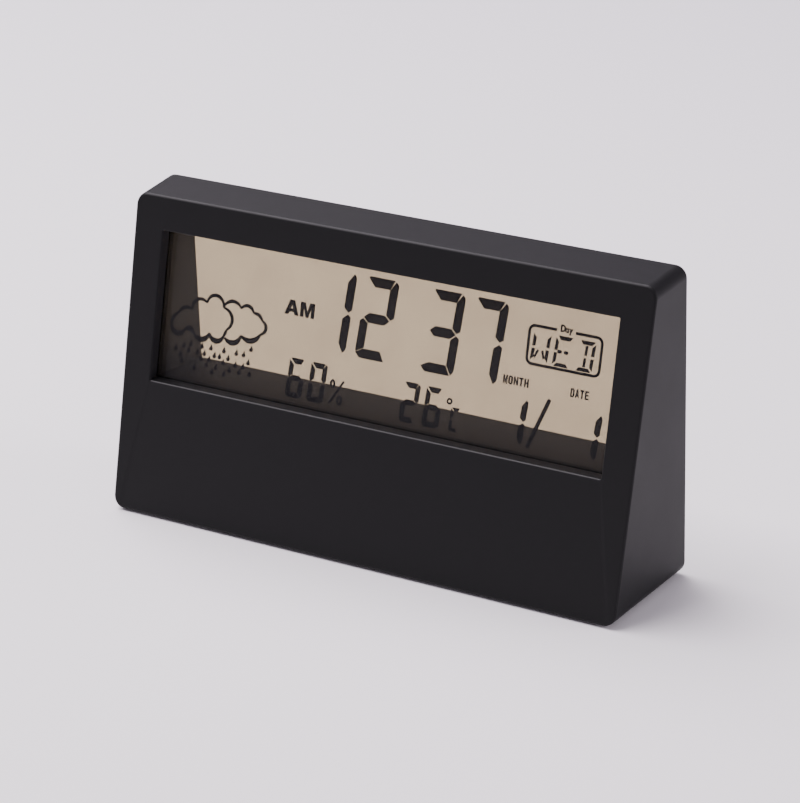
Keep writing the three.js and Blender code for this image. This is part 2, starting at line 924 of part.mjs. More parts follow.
function socketHeightOnBoard() {
  return boardBottom + (boardTop - boardBottom) * 0.62;
}

function makeRibbon() {
  const x = ribbonMiddle();
  const bondY = rearGlassY + ribbonThickness / 2;
  const start = new THREE.Vector3(0, bondY, rearGlassBottom - pieceGap);
  const end = new THREE.Vector3(0, bondY, rearGlassBottom - pieceGap - ribbonBond);
  start.applyMatrix4(displayGroup.matrix);
  end.applyMatrix4(displayGroup.matrix);
  const socketZ = socketHeightOnBoard();
  const socketMouth = boardFrontY - socketDepth;
  const path = new THREE.CurvePath();
  const flat = (vector) => new THREE.Vector2(vector.y, vector.z);
  const straight = flat(end).sub(flat(start)).normalize();
  const bendStart = flat(end);
  const bendEnd = new THREE.Vector2(socketMouth - 0.5, socketZ);
  const reach = bendStart.distanceTo(bendEnd) * 0.55;
  path.add(new THREE.LineCurve(flat(start), bendStart));
  path.add(
    new THREE.CubicBezierCurve(
      bendStart,
      bendStart.clone().addScaledVector(straight, reach),
      new THREE.Vector2(bendEnd.x - reach, bendEnd.y),
      bendEnd,
    ),
  );
  path.add(new THREE.LineCurve(bendEnd, new THREE.Vector2(socketMouth + 1.2, socketZ)));
  const steps = 24;
  const upper = [];
  const lower = [];
  for (let i = 0; i <= steps; i += 1) {
    const point = path.getPointAt(i / steps);
    const along = path.getTangentAt(i / steps);
    const side = new THREE.Vector2(-along.y, along.x).multiplyScalar(ribbonThickness / 2);
    upper.push(point.clone().add(side));
    lower.push(point.clone().sub(side));
  }
  // The outline lies in Y and Z, and is carried along X.
  const outline = new THREE.Shape([...lower, ...upper.reverse()]);
  const geometry = new THREE.ExtrudeGeometry(outline, { depth: ribbonWidth, bevelEnabled: false });
  geometry.applyMatrix4(
    new THREE.Matrix4().makeBasis(
      new THREE.Vector3(0, 1, 0),
      new THREE.Vector3(0, 0, 1),
      new THREE.Vector3(1, 0, 0),
    ),
  );
  geometry.translate(x - ribbonWidth / 2, 0, 0);
  addPiece(caseGroup, "lcd_ribbon", geometry, ribbonFilm);

  const socketHalf = ribbonWidth / 2 + socketBorder;
  const slotHalf = ribbonWidth / 2 + pieceGap;
  const slotRise = ribbonThickness / 2 + pieceGap;
  const socket = cut(
    toSolid(
      block(
        x - socketHalf,
        x + socketHalf,
        socketMouth,
        boardFrontY,
        socketZ - socketHeight / 2,
        socketZ + socketHeight / 2,
      ),
    ),
    block(
      x - slotHalf,
      x + slotHalf,
      socketMouth - 1,
      socketMouth + 1.2 + pieceGap,
      socketZ - slotRise,
      socketZ + slotRise,
    ),
  );
  addPiece(caseGroup, "ribbon_socket", socket, paleResin);
}

// Board and what is on it

function makeBoard() {
  let board = toSolid(
    plate(
      roundedOutline(boardLeft, boardRight, boardBottom, boardTop, 0.8),
      boardFrontY,
      boardRearY,
      0,
      2,
    ),
  );
  for (const [number, x, z] of boardPostPlaces()) {
    const hole = barAlongY(boardScrewRadius + screwHoleGap, x, z, boardFrontY - 1, boardRearY + 1, 10);
    board = cut(board, hole);
    const profile = [
      [0, boardFrontY - boardScrewHeadHeight],
      [boardScrewHeadRadius * 0.7, boardFrontY - boardScrewHeadHeight],
      [boardScrewHeadRadius, boardFrontY - boardScrewHeadHeight * 0.4],
      [boardScrewHeadRadius, boardFrontY],
      [boardScrewRadius, boardFrontY],
      [boardScrewRadius, boardFrontY + boardScrewLength - 0.6],
      [0, boardFrontY + boardScrewLength],
    ];
    const screw = crossRecess(
      toSolid(turnedAlongY(profile, x, z, 14)),
      x,
      z,
      boardFrontY - boardScrewHeadHeight,
      boardScrewHeadRadius * 0.6,
      0.5,
    );
    addPiece(caseGroup, `board_screw_${number}`, screw, steel);
  }
  addPiece(caseGroup, "main_board", board, circuitBoard);
}

// A cross cut into a screw's head around y.
function crossRecess(screw, x, z, y, reach, depth) {
  const thin = reach / 4;
  return cut(
    screw,
    block(x - reach, x + reach, y - depth, y + depth, z - thin, z + thin),
    block(x - thin, x + thin, y - depth, y + depth, z - reach, z + reach),
  );
}

function makeSwitchesAndButtons() {
  for (const [number, x] of buttonPlaces()) {
    const half = switchWidth / 2;
    const bodyRear = boardRearY + switchBodyHeight;
    const body = cut(
      toSolid(block(x - half, x + half, boardRearY, bodyRear, buttonRowZ - half, buttonRowZ + half)),
      barAlongY(
        plungerRadius + screwHoleGap,
        x,
        buttonRowZ,
        bodyRear - plungerInside - buttonTravel - pieceGap,
        bodyRear + 1,
        16,
      ),
    );
    addPiece(caseGroup, `tact_switch_${number}`, body, epoxy);
    addPiece(
      caseGroup,
      `switch_plunger_${number}`,
      barAlongY(plungerRadius, x, buttonRowZ, bodyRear - plungerInside, plungerRearY, 16),
      keyPlastic,
    );
    const face = coverOuterY + buttonProud;
    const cap = join(
      toSolid(plate(buttonOutline(x, 0), flangeFrontY, face, 0)),
      plate(buttonOutline(x, buttonFlange), flangeFrontY, flangeRearY),
      barAlongY(plungerRadius, x, buttonRowZ, stemFrontY, flangeFrontY + 0.4, 16),
    );
    addPiece(caseGroup, `button_${number}`, cap, keyPlastic);
  }
}

function makeBoardParts() {
  const dropZ = (boardBottom + socketHeightOnBoard() - socketHeight / 2) / 2;
  const width = boardRight - boardLeft;
  const chipX = boardLeft + width * 0.38;
  const dome = turnedAlongY(
    [
      [0, boardFrontY - 1.6],
      [1.6, boardFrontY - 1.45],
      [3.2, boardFrontY - 0.9],
      [4, boardFrontY],
      [0, boardFrontY],
    ],
    chipX,
    dropZ,
  );
  addPiece(caseGroup, "chip_cover", dome, epoxy);

  const crystal = new THREE.CylinderGeometry(crystalRadius, crystalRadius, crystalLength, 14);
  crystal.rotateZ(Math.PI / 2);
  crystal.translate(boardLeft + width * 0.58, boardFrontY - crystalRadius - 0.05, dropZ);
  addPiece(caseGroup, "crystal", crystal, steel);

  const can = new THREE.CylinderGeometry(capacitorRadius, capacitorRadius, capacitorLength, 18);
  can.rotateZ(Math.PI / 2);
  can.translate(boardLeft + width * 0.76, boardFrontY - capacitorRadius - 0.05, dropZ);
  addPiece(caseGroup, "capacitor", can, darkInsulation);

  const buzzer = turnedAlongY(
    [
      [0, boardRearY],
      [buzzerRadius, boardRearY],
      [buzzerRadius, boardRearY + buzzerHeight - 0.3],
      [buzzerRadius - 0.3, boardRearY + buzzerHeight],
      [1, boardRearY + buzzerHeight],
      [1, boardRearY + buzzerHeight - 1],
      [0, boardRearY + buzzerHeight - 1],
    ],
    buzzerX,
    lowerRowZ,
    24,
  );
  addPiece(caseGroup, "buzzer", buzzer, epoxy);

  const half = sensorWidth / 2;
  const sensor = cut(
    toSolid(
      block(
        sensorX - half,
        sensorX + half,
        boardRearY,
        boardRearY + sensorHeight,
        lowerRowZ - half,
        lowerRowZ + half,
      ),
    ),
    block(
      sensorX - sensorWindow / 2,
      sensorX + sensorWindow / 2,
      boardRearY + sensorHeight - 0.6,
      boardRearY + sensorHeight + 1,
      lowerRowZ - sensorWindow / 2,
      lowerRowZ + sensorWindow / 2,
    ),
  );
  addPiece(caseGroup, "humidity_sensor", sensor, paleResin);

  const beadX = sensorX - sensorWidth - 2;
  const bead = turnedAlongY(
    [
      [0, boardRearY],
      [0.4, boardRearY],
      [0.4, boardRearY + 2.2],
      [1.1, boardRearY + 2.7],
      [1.3, boardRearY + 3.5],
      [0.8, boardRearY + 4.3],
      [0, boardRearY + 4.6],
    ],
    beadX,
    lowerRowZ,
    12,
  );
  addPiece(caseGroup, "thermistor", bead, epoxy);
}

function makeCaseScrews() {
  for (const [place, x, z] of caseScrewPlaces()) {
    const seat = coverOuterY - counterboreDepth;
    const tip = coverInnerY - caseScrewLength;
    const profile = [
      [0, tip],
      [caseScrewRadius, tip + 1],
      [caseScrewRadius, seat],
      [caseScrewHeadRadius, seat],
      [caseScrewHeadRadius, seat + caseScrewHeadHeight * 0.5],
      [caseScrewHeadRadius * 0.65, seat + caseScrewHeadHeight],
      [0, seat + caseScrewHeadHeight],
    ];
    const screw = crossRecess(
      toSolid(turnedAlongY(profile, x, z, 16)),
      x,
      z,
      seat + caseScrewHeadHeight,
      caseScrewHeadRadius * 0.6,
      0.5,
    );
    addPiece(caseGroup, `case_screw_${place}`, screw, steel);
  }
}

function makeFeet() {
  for (const [place, x, y] of footPlaces()) {
    const radius = footDiameter / 2;
    const profile = [
      [0, -footProud],
      [radius - 0.4, -footProud],
      [radius, -footProud + 0.3],
      [radius, footThickness - footProud],
      [0, footThickness - footProud],
    ];
    const foot = turnedAlongY(profile, 0, 0, 24);
    foot.rotateX(Math.PI / 2);
    foot.translate(x, y, 0);
    addPiece(caseGroup, `foot_${place}`, foot, rubber);
  }
}

addPiece(caseGroup, "front_shell", makeFrontShell(), blackPlastic);
addPiece(caseGroup, "rear_cover", makeRearCover(), blackPlastic);
addPiece(caseGroup, "battery_door", makeBatteryDoor(), blackPlastic);
makeDisplay();
makeRibbon();
makeBoard();
makeSwitchesAndButtons();
makeBoardParts();
makeBatteryParts();
makeLeads();
makeCaseScrews();
makeFeet();

export default clock;
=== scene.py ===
"""Weather station clock: the looks of a see-through desk clock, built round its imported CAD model.

It runs as a script in Blender 4.5. Lengths in the properties and in the meshes are metres, in the
CAD model's frame: +X to the right, +Y to the back and +Z up, with the feet on z = 0. Sizes in the
shape functions are millimetres of the case or of the display, and are placed by two functions.
"""

import json

import bmesh
import bpy
import numpy as np
from bpy.props import FloatProperty, FloatVectorProperty, PointerProperty
from mathutils import Matrix, Vector


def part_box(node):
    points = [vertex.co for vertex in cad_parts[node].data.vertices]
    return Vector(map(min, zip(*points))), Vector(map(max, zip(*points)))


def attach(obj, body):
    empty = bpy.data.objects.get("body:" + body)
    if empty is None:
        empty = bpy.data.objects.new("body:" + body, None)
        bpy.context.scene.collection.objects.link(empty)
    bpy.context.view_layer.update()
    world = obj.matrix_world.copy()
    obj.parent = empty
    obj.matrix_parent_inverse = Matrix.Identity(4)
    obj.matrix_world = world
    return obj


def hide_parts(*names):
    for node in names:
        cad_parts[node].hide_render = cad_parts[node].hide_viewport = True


bl_info = {
    "name": "Weather station clock",
    "version": (1, 0, 0),
    "blender": (4, 5, 0),
    "location": "View3D > Sidebar > Clock",
    "description": "Builds the case, the see-through display and the fittings of a desk clock",
    "category": "Add Mesh",
}

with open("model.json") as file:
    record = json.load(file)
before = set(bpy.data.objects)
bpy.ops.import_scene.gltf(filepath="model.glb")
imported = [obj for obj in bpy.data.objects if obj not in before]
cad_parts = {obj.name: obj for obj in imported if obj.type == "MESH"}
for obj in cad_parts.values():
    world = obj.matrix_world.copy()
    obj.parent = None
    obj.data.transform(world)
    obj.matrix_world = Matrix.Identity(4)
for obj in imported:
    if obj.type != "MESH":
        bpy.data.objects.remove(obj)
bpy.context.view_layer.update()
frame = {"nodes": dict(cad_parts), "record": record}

MM = 0.001

# Case, in millimetres from the middle of its front bottom edge
shell_low, shell_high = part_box("front_shell")
CASE_HALF = shell_high.x / MM
CASE_HEIGHT = (shell_high.z - shell_low.z) / MM
CASE_DEPTH = 32.0
CASE_ORIGIN = Vector((0.0, shell_high.y - CASE_DEPTH * MM, shell_low.z))
FRONT_SLOPE = 18.8 / CASE_HEIGHT  # how far the front face leans back for each millimetre of height
SIDE_DRAFT = 0.045  # how far the sides and the top spread for each millimetre of depth
FRONT_LEAN = float(np.arctan(FRONT_SLOPE))
CASE_WALL = 2.0
CASE_CORNER = 2.8
INNER_CORNER = 0.8
FRONT_EDGE = 0.6
REAR_EDGE = 1.1
FOOT_CUT = 0.29  # the foot of the front face is cut back by this much, upright
RIM_WALL = 1.4
RIM_REBATE_Y = 29.2
RIM_CHAMFER = 0.2
FRONT_WALL = CASE_WALL + 0.06  # the front wall's thickness along the depth

# Window and display, the display in millimetres on its own front face from the middle of the sill
WINDOW_HALF = 58.85
WINDOW_LOW = 30.5
WINDOW_HIGH = 64.45
WINDOW_WALL = 3.09  # from the front face to the frame's rear edge
WINDOW_CORNER = 0.3
FRAME_OUTSET = 2.8  # how far the thick frame round the window reaches beyond it
DISPLAY_RECESS = 3.4
DISPLAY_HEIGHT = (WINDOW_HIGH - WINDOW_LOW) / float(np.cos(FRONT_LEAN))
GLASS = 0.7
FILM = 0.2
GLUE = 0.05
GLASS_HALF = WINDOW_HALF + 3.2
GLASS_TOP = DISPLAY_HEIGHT + 2.4
GLASS_LOW = -1.6
LEDGE_LOW = GLASS_LOW - 3.0
FILM_HALF = WINDOW_HALF + 2.4
FILM_LOW = -1.4
FILM_TOP = DISPLAY_HEIGHT + 1.4
FRONT_GLASS_Y = FILM + GLUE
REAR_GLASS_Y = FRONT_GLASS_Y + GLASS + GLUE
REAR_FILM_Y = REAR_GLASS_Y + GLASS + GLUE
SYMBOL_Y = REAR_GLASS_Y - 0.04
SYMBOL_THICKNESS = 0.03
PANE_CORNER = 0.3

# Finishes, and the painted light and shade
FILM_HAZE = 0.0095  # the share of the light that each face of the display scatters
FILM_SLANT = (0.4, 0.75)  # where a film goes dark, from 0 seen squarely to 1 edge on
FILM_DARK = (0.2, 0.2, 0.21)
FILM_GLOSS_IOR = 1.31
CRYSTAL_LEAK = 0.105
MOST_NOISE = (0.3, 0.7)  # nearly all the values of a noise lie between these
WELL_PAINTED_LIGHT = (3.2, 3.4, 4.1)  # painted light: the light well's walls get a copy of the front shell's black plastic, paler and bluer, for the light that reaches them
WELL_MARGIN = 1.5  # how far a wall's middle may lie outside the box of the well's mouth, to get the painted light
SIDE_WALL_BAND = (-0.05, 0.3)  # where the window's side walls lie, outwards from its side: they get painted shade
SILL_BAND = (-0.7, 0.1)  # where its sill's faces lie, upwards from its lower edge: they get a painted sheen

# Camera, from the fit of the case's edges in the photograph
CAMERA_TARGET = (0.0, 20.0, 37.0)
CAMERA_AZIMUTH = 31.88
CAMERA_ELEVATION = 23.48
CAMERA_ROLL = -1.81
CAMERA_DISTANCE = 705.0
CAMERA_SHIFT = (-1.49, 4.37)
PHOTO_WIDTH = 800
FOCAL_PIXELS = 3143.0
SENSOR_WIDTH = 36.0

# Dry cells and their contacts
CELL_NUB_HEIGHT = 0.8
CELL_SLEEVE = 0.1
CONTACT_WIDTH = 7.4
SPRING_TURNS = 3.5
SPRING_WIRE = 0.6
SPRING_BASE = 3.2
SPRING_TIP = 1.9
SPRING_LENGTH = 3.9

# Stage, in metres
SWEEP_HALF = 3.0
SWEEP_BEND_Y = 1.6
SWEEP_BEND = 0.7
SWEEP_TOP = 3.5
PAPER_FADE = (0.05, 0.5)  # from white to grey, behind the clock
LAMP_AIM = Vector((0.0, 0.0, 0.03))
LAMP_COLOUR = "#fff7ff"
ROOM_COLOUR = "#efe6f6"

# How finely round shapes are divided, and how CAD meshes are read
CORNER_STEPS = 8
EDGE_STEPS = 6
ARC_STEPS = 10
RING_STEPS = 24
DROP_STEPS = 12
ROUND_STEPS = 48
TUBE_SIDES = 12
SAME_PLACE = 0.001  # points nearer than this, in millimetres, are one
FLAT_ANGLE = float(np.radians(0.6))
SHARP_ANGLE = float(np.radians(28))


# Colours and nodes


def linear(code):
    """An sRGB colour written #rrggbb, as linear red, green and blue."""
    parts = np.array([int(code[i : i + 2], 16) / 255 for i in (1, 3, 5)])
    low = parts / 12.92
    high = ((parts + 0.055) / 1.055) ** 2.4
    return tuple(float(part) for part in np.where(parts <= 0.04045, low, high))


def add_node(tree, kind, settings=None, **links):
    """Adds a node, sets its properties and the values of its inputs, and links sockets to inputs.

    A key of settings or links is an input's name, with _ for a space, or a property of the node."""
    node = tree.nodes.new(kind)
    for key, value in (settings or {}).items():
        if hasattr(node, key):
            setattr(node, key, value)
        else:
            node.inputs[int(key) if key.isdigit() else key].default_value = value
    for key, socket in links.items():
        name = key.replace("_", " ")
        is_index = name[0] == "i" and name[1:].isdigit()
        tree.links.new(socket, node.inputs[int(name[1:]) if is_index else name])
    return node


def new_material(name):
    """An empty material, its node tree, and the places of its points on the object."""
    material = bpy.data.materials.new(name)
    material.use_nodes = True
    tree = material.node_tree
    tree.nodes.clear()
    return material, tree, add_node(tree, "ShaderNodeTexCoord").outputs["Object"]


def finish_material(material, tree, shader, colour):
    """Links the shader to the output, and sets the colour that the viewport shows."""
    output = tree.nodes.new("ShaderNodeOutputMaterial")
    tree.links.new(shader.outputs[0], output.inputs["Surface"])
    material.diffuse_color = (*colour, 1.0)
    return material


def noise(tree, place, size, detail, roughness=0.5):
    """Soft noise with patches of about the given size in millimetres."""
    settings = {"Scale": 1 / (size * MM), "Detail": detail, "Roughness": roughness}
    return add_node(tree, "ShaderNodeTexNoise", settings, Vector=place).outputs["Fac"]


def blend(tree, first, second, share):
    """A colour that goes from the first to the second as share goes from 0 to 1."""
    settings = {"data_type": "RGBA", "6": (*first, 1.0), "7": (*second, 1.0)}
    return add_node(tree, "ShaderNodeMix", settings, i0=share).outputs[2]


def stretch(tree, value, start, end=(0.0, 1.0)):
    """A value mapped from one range onto another, and held at the ends of it."""
    settings = {"From Min": start[0], "From Max": start[1], "To Min": end[0], "To Max": end[1]}
    return add_node(tree, "ShaderNodeMapRange", settings, Value=value).outputs["Result"]


def bump(tree, height, strength, depth):
    """The normals of a surface with a relief of the given depth in millimetres."""
    settings = {"Strength": strength, "Distance": depth * MM}
    return add_node(tree, "ShaderNodeBump", settings, Height=height).outputs["Normal"]


def mix_shaders(tree, share, first, second):
    """Two shader nodes mixed: only the first at a share of 0, only the second at 1."""
    mix = add_node(tree, "ShaderNodeMixShader", i1=first.outputs[0], i2=second.outputs[0])
    if isinstance(share, float):
        mix.inputs["Fac"].default_value = share
    else:
        tree.links.new(share, mix.inputs["Fac"])
    return mix


def moulded_abs(name, colour, roughness, grain, ior=1.27):
    """Black ABS, moulded in a spark-eroded tool: a fine even grain, satin, with faint mottling.

    The real grain is about 0.05 mm, too fine to show, so it is drawn several times coarser."""
    material, tree, place = new_material(name)
    fine = noise(tree, place, grain, detail=3.0, roughness=0.6)
    broad = noise(tree, place, size=14.0, detail=4.0, roughness=0.55)
    pale = tuple(part * 1.12 for part in colour)
    shader = add_node(
        tree,
        "ShaderNodeBsdfPrincipled",
        {"IOR": ior},
        Base_Color=blend(tree, colour, pale, broad),
        Roughness=stretch(tree, broad, MOST_NOISE, (roughness - 0.02, roughness + 0.02)),
        Normal=bump(tree, fine, strength=0.22, depth=0.02),
    )
    return finish_material(material, tree, shader, colour)


def polarised_glass(name, tint):
    """A glass sheet with its polariser: clear, tinted warm tan by the film, with a sharp thin gloss.

    Light goes straight through, since the sheets are too thin for a bend to show. At a grazing
    angle it crosses more of the film's dye, so little is left. Each face scatters a little too."""
    material, tree, place = new_material(name)
    deeper = tuple(part * 0.93 for part in tint)
    colour = blend(tree, tint, deeper, noise(tree, place, size=11.0, detail=3.0))
    facing = add_node(tree, "ShaderNodeLayerWeight", {"Blend": 0.5})
    slant = stretch(tree, facing.outputs["Facing"], FILM_SLANT)
    dark = {"data_type": "RGBA", "7": (*FILM_DARK, 1.0)}
    grazed = add_node(tree, "ShaderNodeMix", dark, i0=slant, i6=colour)
    through = add_node(tree, "ShaderNodeBsdfTransparent", Color=grazed.outputs[2])
    gloss = add_node(tree, "ShaderNodeBsdfGlossy", {"Color": (1.0, 1.0, 1.0, 1.0), "Roughness": 0.08})
    edge = add_node(tree, "ShaderNodeFresnel", {"IOR": FILM_GLOSS_IOR})
    side = add_node(tree, "ShaderNodeNewGeometry")
    share = add_node(
        tree, "ShaderNodeMix", {"B": 0.0}, Factor=side.outputs["Backfacing"], A=edge.outputs["Fac"]
    )
    clear = mix_shaders(tree, share.outputs["Result"], through, gloss)
    haze = add_node(tree, "ShaderNodeBsdfDiffuse", {"Color": (0.85, 0.88, 1.0, 1.0)})
    hazy = mix_shaders(tree, FILM_HAZE, clear, haze)
    return finish_material(material, tree, hazy, tint)


def liquid_crystal(name, colour):
    """Switched liquid crystal between crossed polarisers: near-black, here cool and there warm.

    A little of the light from behind leaks through it."""
    material, tree, place = new_material(name)
    share = stretch(tree, noise(tree, place, size=7.0, detail=2.0), (0.35, 0.65))
    cool = np.multiply(colour, (0.75, 0.9, 1.25))
    warm = np.multiply(colour, (1.35, 1.0, 0.8))
    mix = blend(tree, cool, warm, share)
    dark = add_node(tree, "ShaderNodeBsdfPrincipled", {"Roughness": 0.6, "IOR": 1.1}, Base_Color=mix)
    through = add_node(tree, "ShaderNodeBsdfTransparent")
    leak = mix_shaders(tree, CRYSTAL_LEAK, dark, through)
    return finish_material(material, tree, leak, colour)


def grained(name, code, roughness, grain, bump_depth, metallic=0.0, ior=1.5, spread=1.2):
    """A plain moulded, plated or rubber surface: one colour with a fine grain of the size given."""
    material, tree, place = new_material(name)
    colour = linear(code)
    fine = noise(tree, place, grain, detail=4.0, roughness=0.6)
    pale = tuple(min(1.0, part * spread) for part in colour)
    shader = add_node(
        tree,
        "ShaderNodeBsdfPrincipled",
        {"Metallic": metallic, "IOR": ior},
        Base_Color=blend(tree, colour, pale, fine),
        Roughness=stretch(tree, fine, MOST_NOISE, (roughness * 0.85, min(1.0, roughness * 1.15))),
        Normal=bump(tree, fine, strength=0.3, depth=bump_depth),
    )
    return finish_material(material, tree, shader, colour)


def solder_mask(name):
    """Green solder mask on glass fibre board: glossy, with copper tracks showing paler under it."""
    material, tree, place = new_material(name)
    green = linear("#1d5a38")
    tracks = add_node(
        tree,
        "ShaderNodeTexBrick",
        {
            "Scale": 1.0,
            "Color1": (*green, 1.0),
            "Color2": (*linear("#236642"), 1.0),
            "Mortar": (*linear("#2f7d52"), 1.0),
            "Mortar Size": 0.25 * MM,
            "Brick Width": 6 * MM,
            "Row Height": 1.6 * MM,
        },
        Vector=place,
    )
    gloss = {"Roughness": 0.35, "IOR": 1.5}
    shader = add_node(tree, "ShaderNodeBsdfPrincipled", gloss, Base_Color=tracks.outputs["Color"])
    return finish_material(material, tree, shader, green)


def studio_paper(name, near, far):
    """Matt graduated paper, for the floor and the backdrop: near white, and greyer behind."""
    material, tree, place = new_material(name)
    axes = add_node(tree, "ShaderNodeSeparateXYZ", Vector=place)
    colour = blend(tree, near, far, stretch(tree, axes.outputs["Y"], PAPER_FADE))
    shader = add_node(tree, "ShaderNodeBsdfPrincipled", {"Roughness": 0.9, "IOR": 1.3}, Base_Color=colour)
    return finish_material(material, tree, shader, near)


# Shapes


def on_case(x, y, z):
    """Points given in millimetres of the case, in metres of the CAD frame."""
    points = np.stack(np.broadcast_arrays(x, y, z), axis=-1) * MM
    return points + np.array(CASE_ORIGIN)


def on_display(u, y, v):
    """Points in millimetres of the display (across, into the glass, up the glass), in metres.

    The display's front face passes through the sill, and is parallel to the front face."""
    u, y, v = np.broadcast_arrays(u, y, v)
    start = FRONT_SLOPE * WINDOW_LOW + DISPLAY_RECESS
    across = np.cos(FRONT_LEAN)
    along = np.sin(FRONT_LEAN)
    return on_case(u, start + y * across + v * along, WINDOW_LOW - y * along + v * across)


def full_turn(steps):
    return np.linspace(0.0, 2 * np.pi, steps, endpoint=False)


def rounded_rectangle(left, right, low, high, radius, steps=CORNER_STEPS):
    """An anticlockwise outline: four quarter circles about centres one radius inside the sides."""
    turn = np.linspace(0.0, np.pi / 2, steps + 1)
    angle = (np.arange(4)[:, None] * np.pi / 2 - np.pi / 2 + turn[None, :]).ravel()
    centre_x = np.repeat([right - radius, right - radius, left + radius, left + radius], steps + 1)
    centre_z = np.repeat([low + radius, high - radius, high - radius, low + radius], steps + 1)
    return centre_x + radius * np.cos(angle), centre_z + radius * np.sin(angle)


def grid_faces(rows, columns, close_rows=False):
    """Quads between neighbouring rows of a grid whose columns close on themselves."""
    count = rows if close_rows else rows - 1
    row, column = np.meshgrid(np.arange(count), np.arange(columns), indexing="ij")
    below = (row + 1) % rows * columns
    beside = (column + 1) % columns
    row = row * columns
    return np.stack([row + column, row + beside, below + beside, below + column], axis=-1).reshape(-1, 4)


def rings_to_mesh(name, rings, close_rows=False):
    """A skin over rings of points of equal count, shape (rings, points, 3).

    It closes on itself where close_rows is set, and is capped at both ends where it isn't."""
    rows, columns = rings.shape[:2]
    faces = grid_faces(rows, columns, close_rows).tolist()
    if not close_rows:
        faces.append(list(range(columns)))
        faces.append(list(range((rows - 1) * columns, rows * columns)))
    mesh = bpy.data.meshes.new(name)
    mesh.from_pydata(rings.reshape(-1, 3).tolist(), [], faces)
    return mesh


def join_meshes(name, meshes):
    """One mesh from several, each kept as its own closed skin."""
    work = bmesh.new()
    for mesh in meshes:
        work.from_mesh(mesh)
    joined = bpy.data.meshes.new(name)
    work.to_mesh(joined)
    work.free()
    for mesh in meshes:
        bpy.data.meshes.remove(mesh)
    return joined


def turned_rings(profile, start, direction):
    """Rings of a turned shape along X: each profile point (radius, distance) swept round the axis.

    A point is start + direction distance along X, and radius (cos a, sin a) across it."""
    profile = np.array(profile, float)
    angle = full_turn(ROUND_STEPS)
    radius = profile[:, 0][:, None]
    x = start[0] + direction * profile[:, 1][:, None] * np.ones(ROUND_STEPS)
    y = start[1] + radius * np.cos(angle)
    z = start[2] + radius * np.sin(angle)
    return np.stack([x, y, z], axis=-1) * MM


def tube_rings(path, radius, axis):
    """Rings round a path that winds about an axis: at each point a circle across the path's
    direction, in the plane of the axis and the direction away from the path."""
    along = np.gradient(path, axis=0)
    along /= np.linalg.norm(along, axis=1)[:, None]
    side = np.cross(along, axis)
    side /= np.linalg.norm(side, axis=1)[:, None]
    normal = np.cross(side, along)
    angle = full_turn(TUBE_SIDES)[None, :, None]
    circle = np.cos(angle) * normal[:, None, :] + np.sin(angle) * side[:, None, :]
    return path[:, None, :] + radius * circle


def outward(mesh):
    """Turns the faces of closed skins outwards."""
    work = bmesh.new()
    work.from_mesh(mesh)
    bmesh.ops.recalc_face_normals(work, faces=work.faces)
    work.to_mesh(mesh)
    work.free()


def faces_of(mesh):
    """The middles and the normals of a mesh's faces, one row for each face."""
    rows = []
    for kind in ("center", "normal"):
        values = np.zeros(3 * len(mesh.polygons))
        mesh.polygons.foreach_get(kind, values)
        rows.append(values.reshape(-1, 3))
    return rows


def add_piece(name, mesh, materials, body, replaced=(), flat=False):
    """Puts a finished mesh in the scene as one piece of the clock, smooth unless flat is set."""
    piece = bpy.data.objects.new(name, mesh)
    bpy.context.scene.collection.objects.link(piece)
    mesh.materials.clear()
    for material in materials:
        mesh.materials.append(material)
    outward(mesh)
    mesh.polygons.foreach_set("use_smooth", np.full(len(mesh.polygons), not flat))
    if not flat:
        corners = piece.modifiers.new("Face weighted corners", "WEIGHTED_NORMAL")
        corners.mode = "FACE_AREA"
        corners.weight = 100
        corners.keep_sharp = True
    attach(piece, body)
    if replaced:
        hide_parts(*replaced)
    return piece


def whole_faced_copy(node):
    """A copy of a CAD solid's mesh with its doubles merged and its flat faces made whole."""
    work = bmesh.new()
    work.from_mesh(frame["nodes"][node].data)
    bmesh.ops.remove_doubles(work, verts=work.verts, dist=SAME_PLACE * MM)
    bmesh.ops.dissolve_limit(work, angle_limit=FLAT_ANGLE, verts=work.verts, edges=work.edges)
    mesh = bpy.data.meshes.new(node + "_skin")
    work.to_mesh(mesh)
    work.free()
    return mesh


def soft_edged(node, name, material, body, radius, steps=2):
    """A CAD solid's own shape with its edges rounded, as moulded or pressed edges are."""
    piece = add_piece(name, whole_faced_copy(node), [material], body, [node])
    bevel = piece.modifiers.new("Rounded edges", "BEVEL")
    bevel.width = radius * MM
    bevel.segments = steps
    bevel.limit_method = "ANGLE"
    bevel.angle_limit = SHARP_ANGLE
    bevel.use_clamp_overlap = True
    piece.modifiers.move(len(piece.modifiers) - 1, 0)
    return piece


# The front shell


def case_ring(inset, y, radius, leans):
    """One ring of the case's outside, inset from it, at y from the front face where it leans.

    The height is z = (z0 - draft (depth - y0)) / (1 - draft slope) in the upper half, the depth is
    y = y0 + slope z, and each side then stands draft (depth - y) inwards."""
    x, z = rounded_rectangle(-CASE_HALF + inset, CASE_HALF - inset, inset, CASE_HEIGHT - inset, radius)
    slope = FRONT_SLOPE if leans else 0.0
    draft = np.where(z > CASE_HEIGHT / 2, SIDE_DRAFT, 0.0)
    z = (z - draft * (CASE_DEPTH - y)) / (1 - draft * slope)
    y = np.maximum(y + slope * z, FOOT_CUT)
    return on_case(x - np.sign(x) * SIDE_DRAFT * (CASE_DEPTH - y), y, z)


def window_ring(outset, y, radius):
    """One ring round the window, outset from its sides, at y behind the leaning front face."""
    half = WINDOW_HALF + outset
    x, z = rounded_rectangle(-half, half, WINDOW_LOW - outset, WINDOW_HIGH + outset, radius)
    return on_case(x, y + FRONT_SLOPE * z, z)


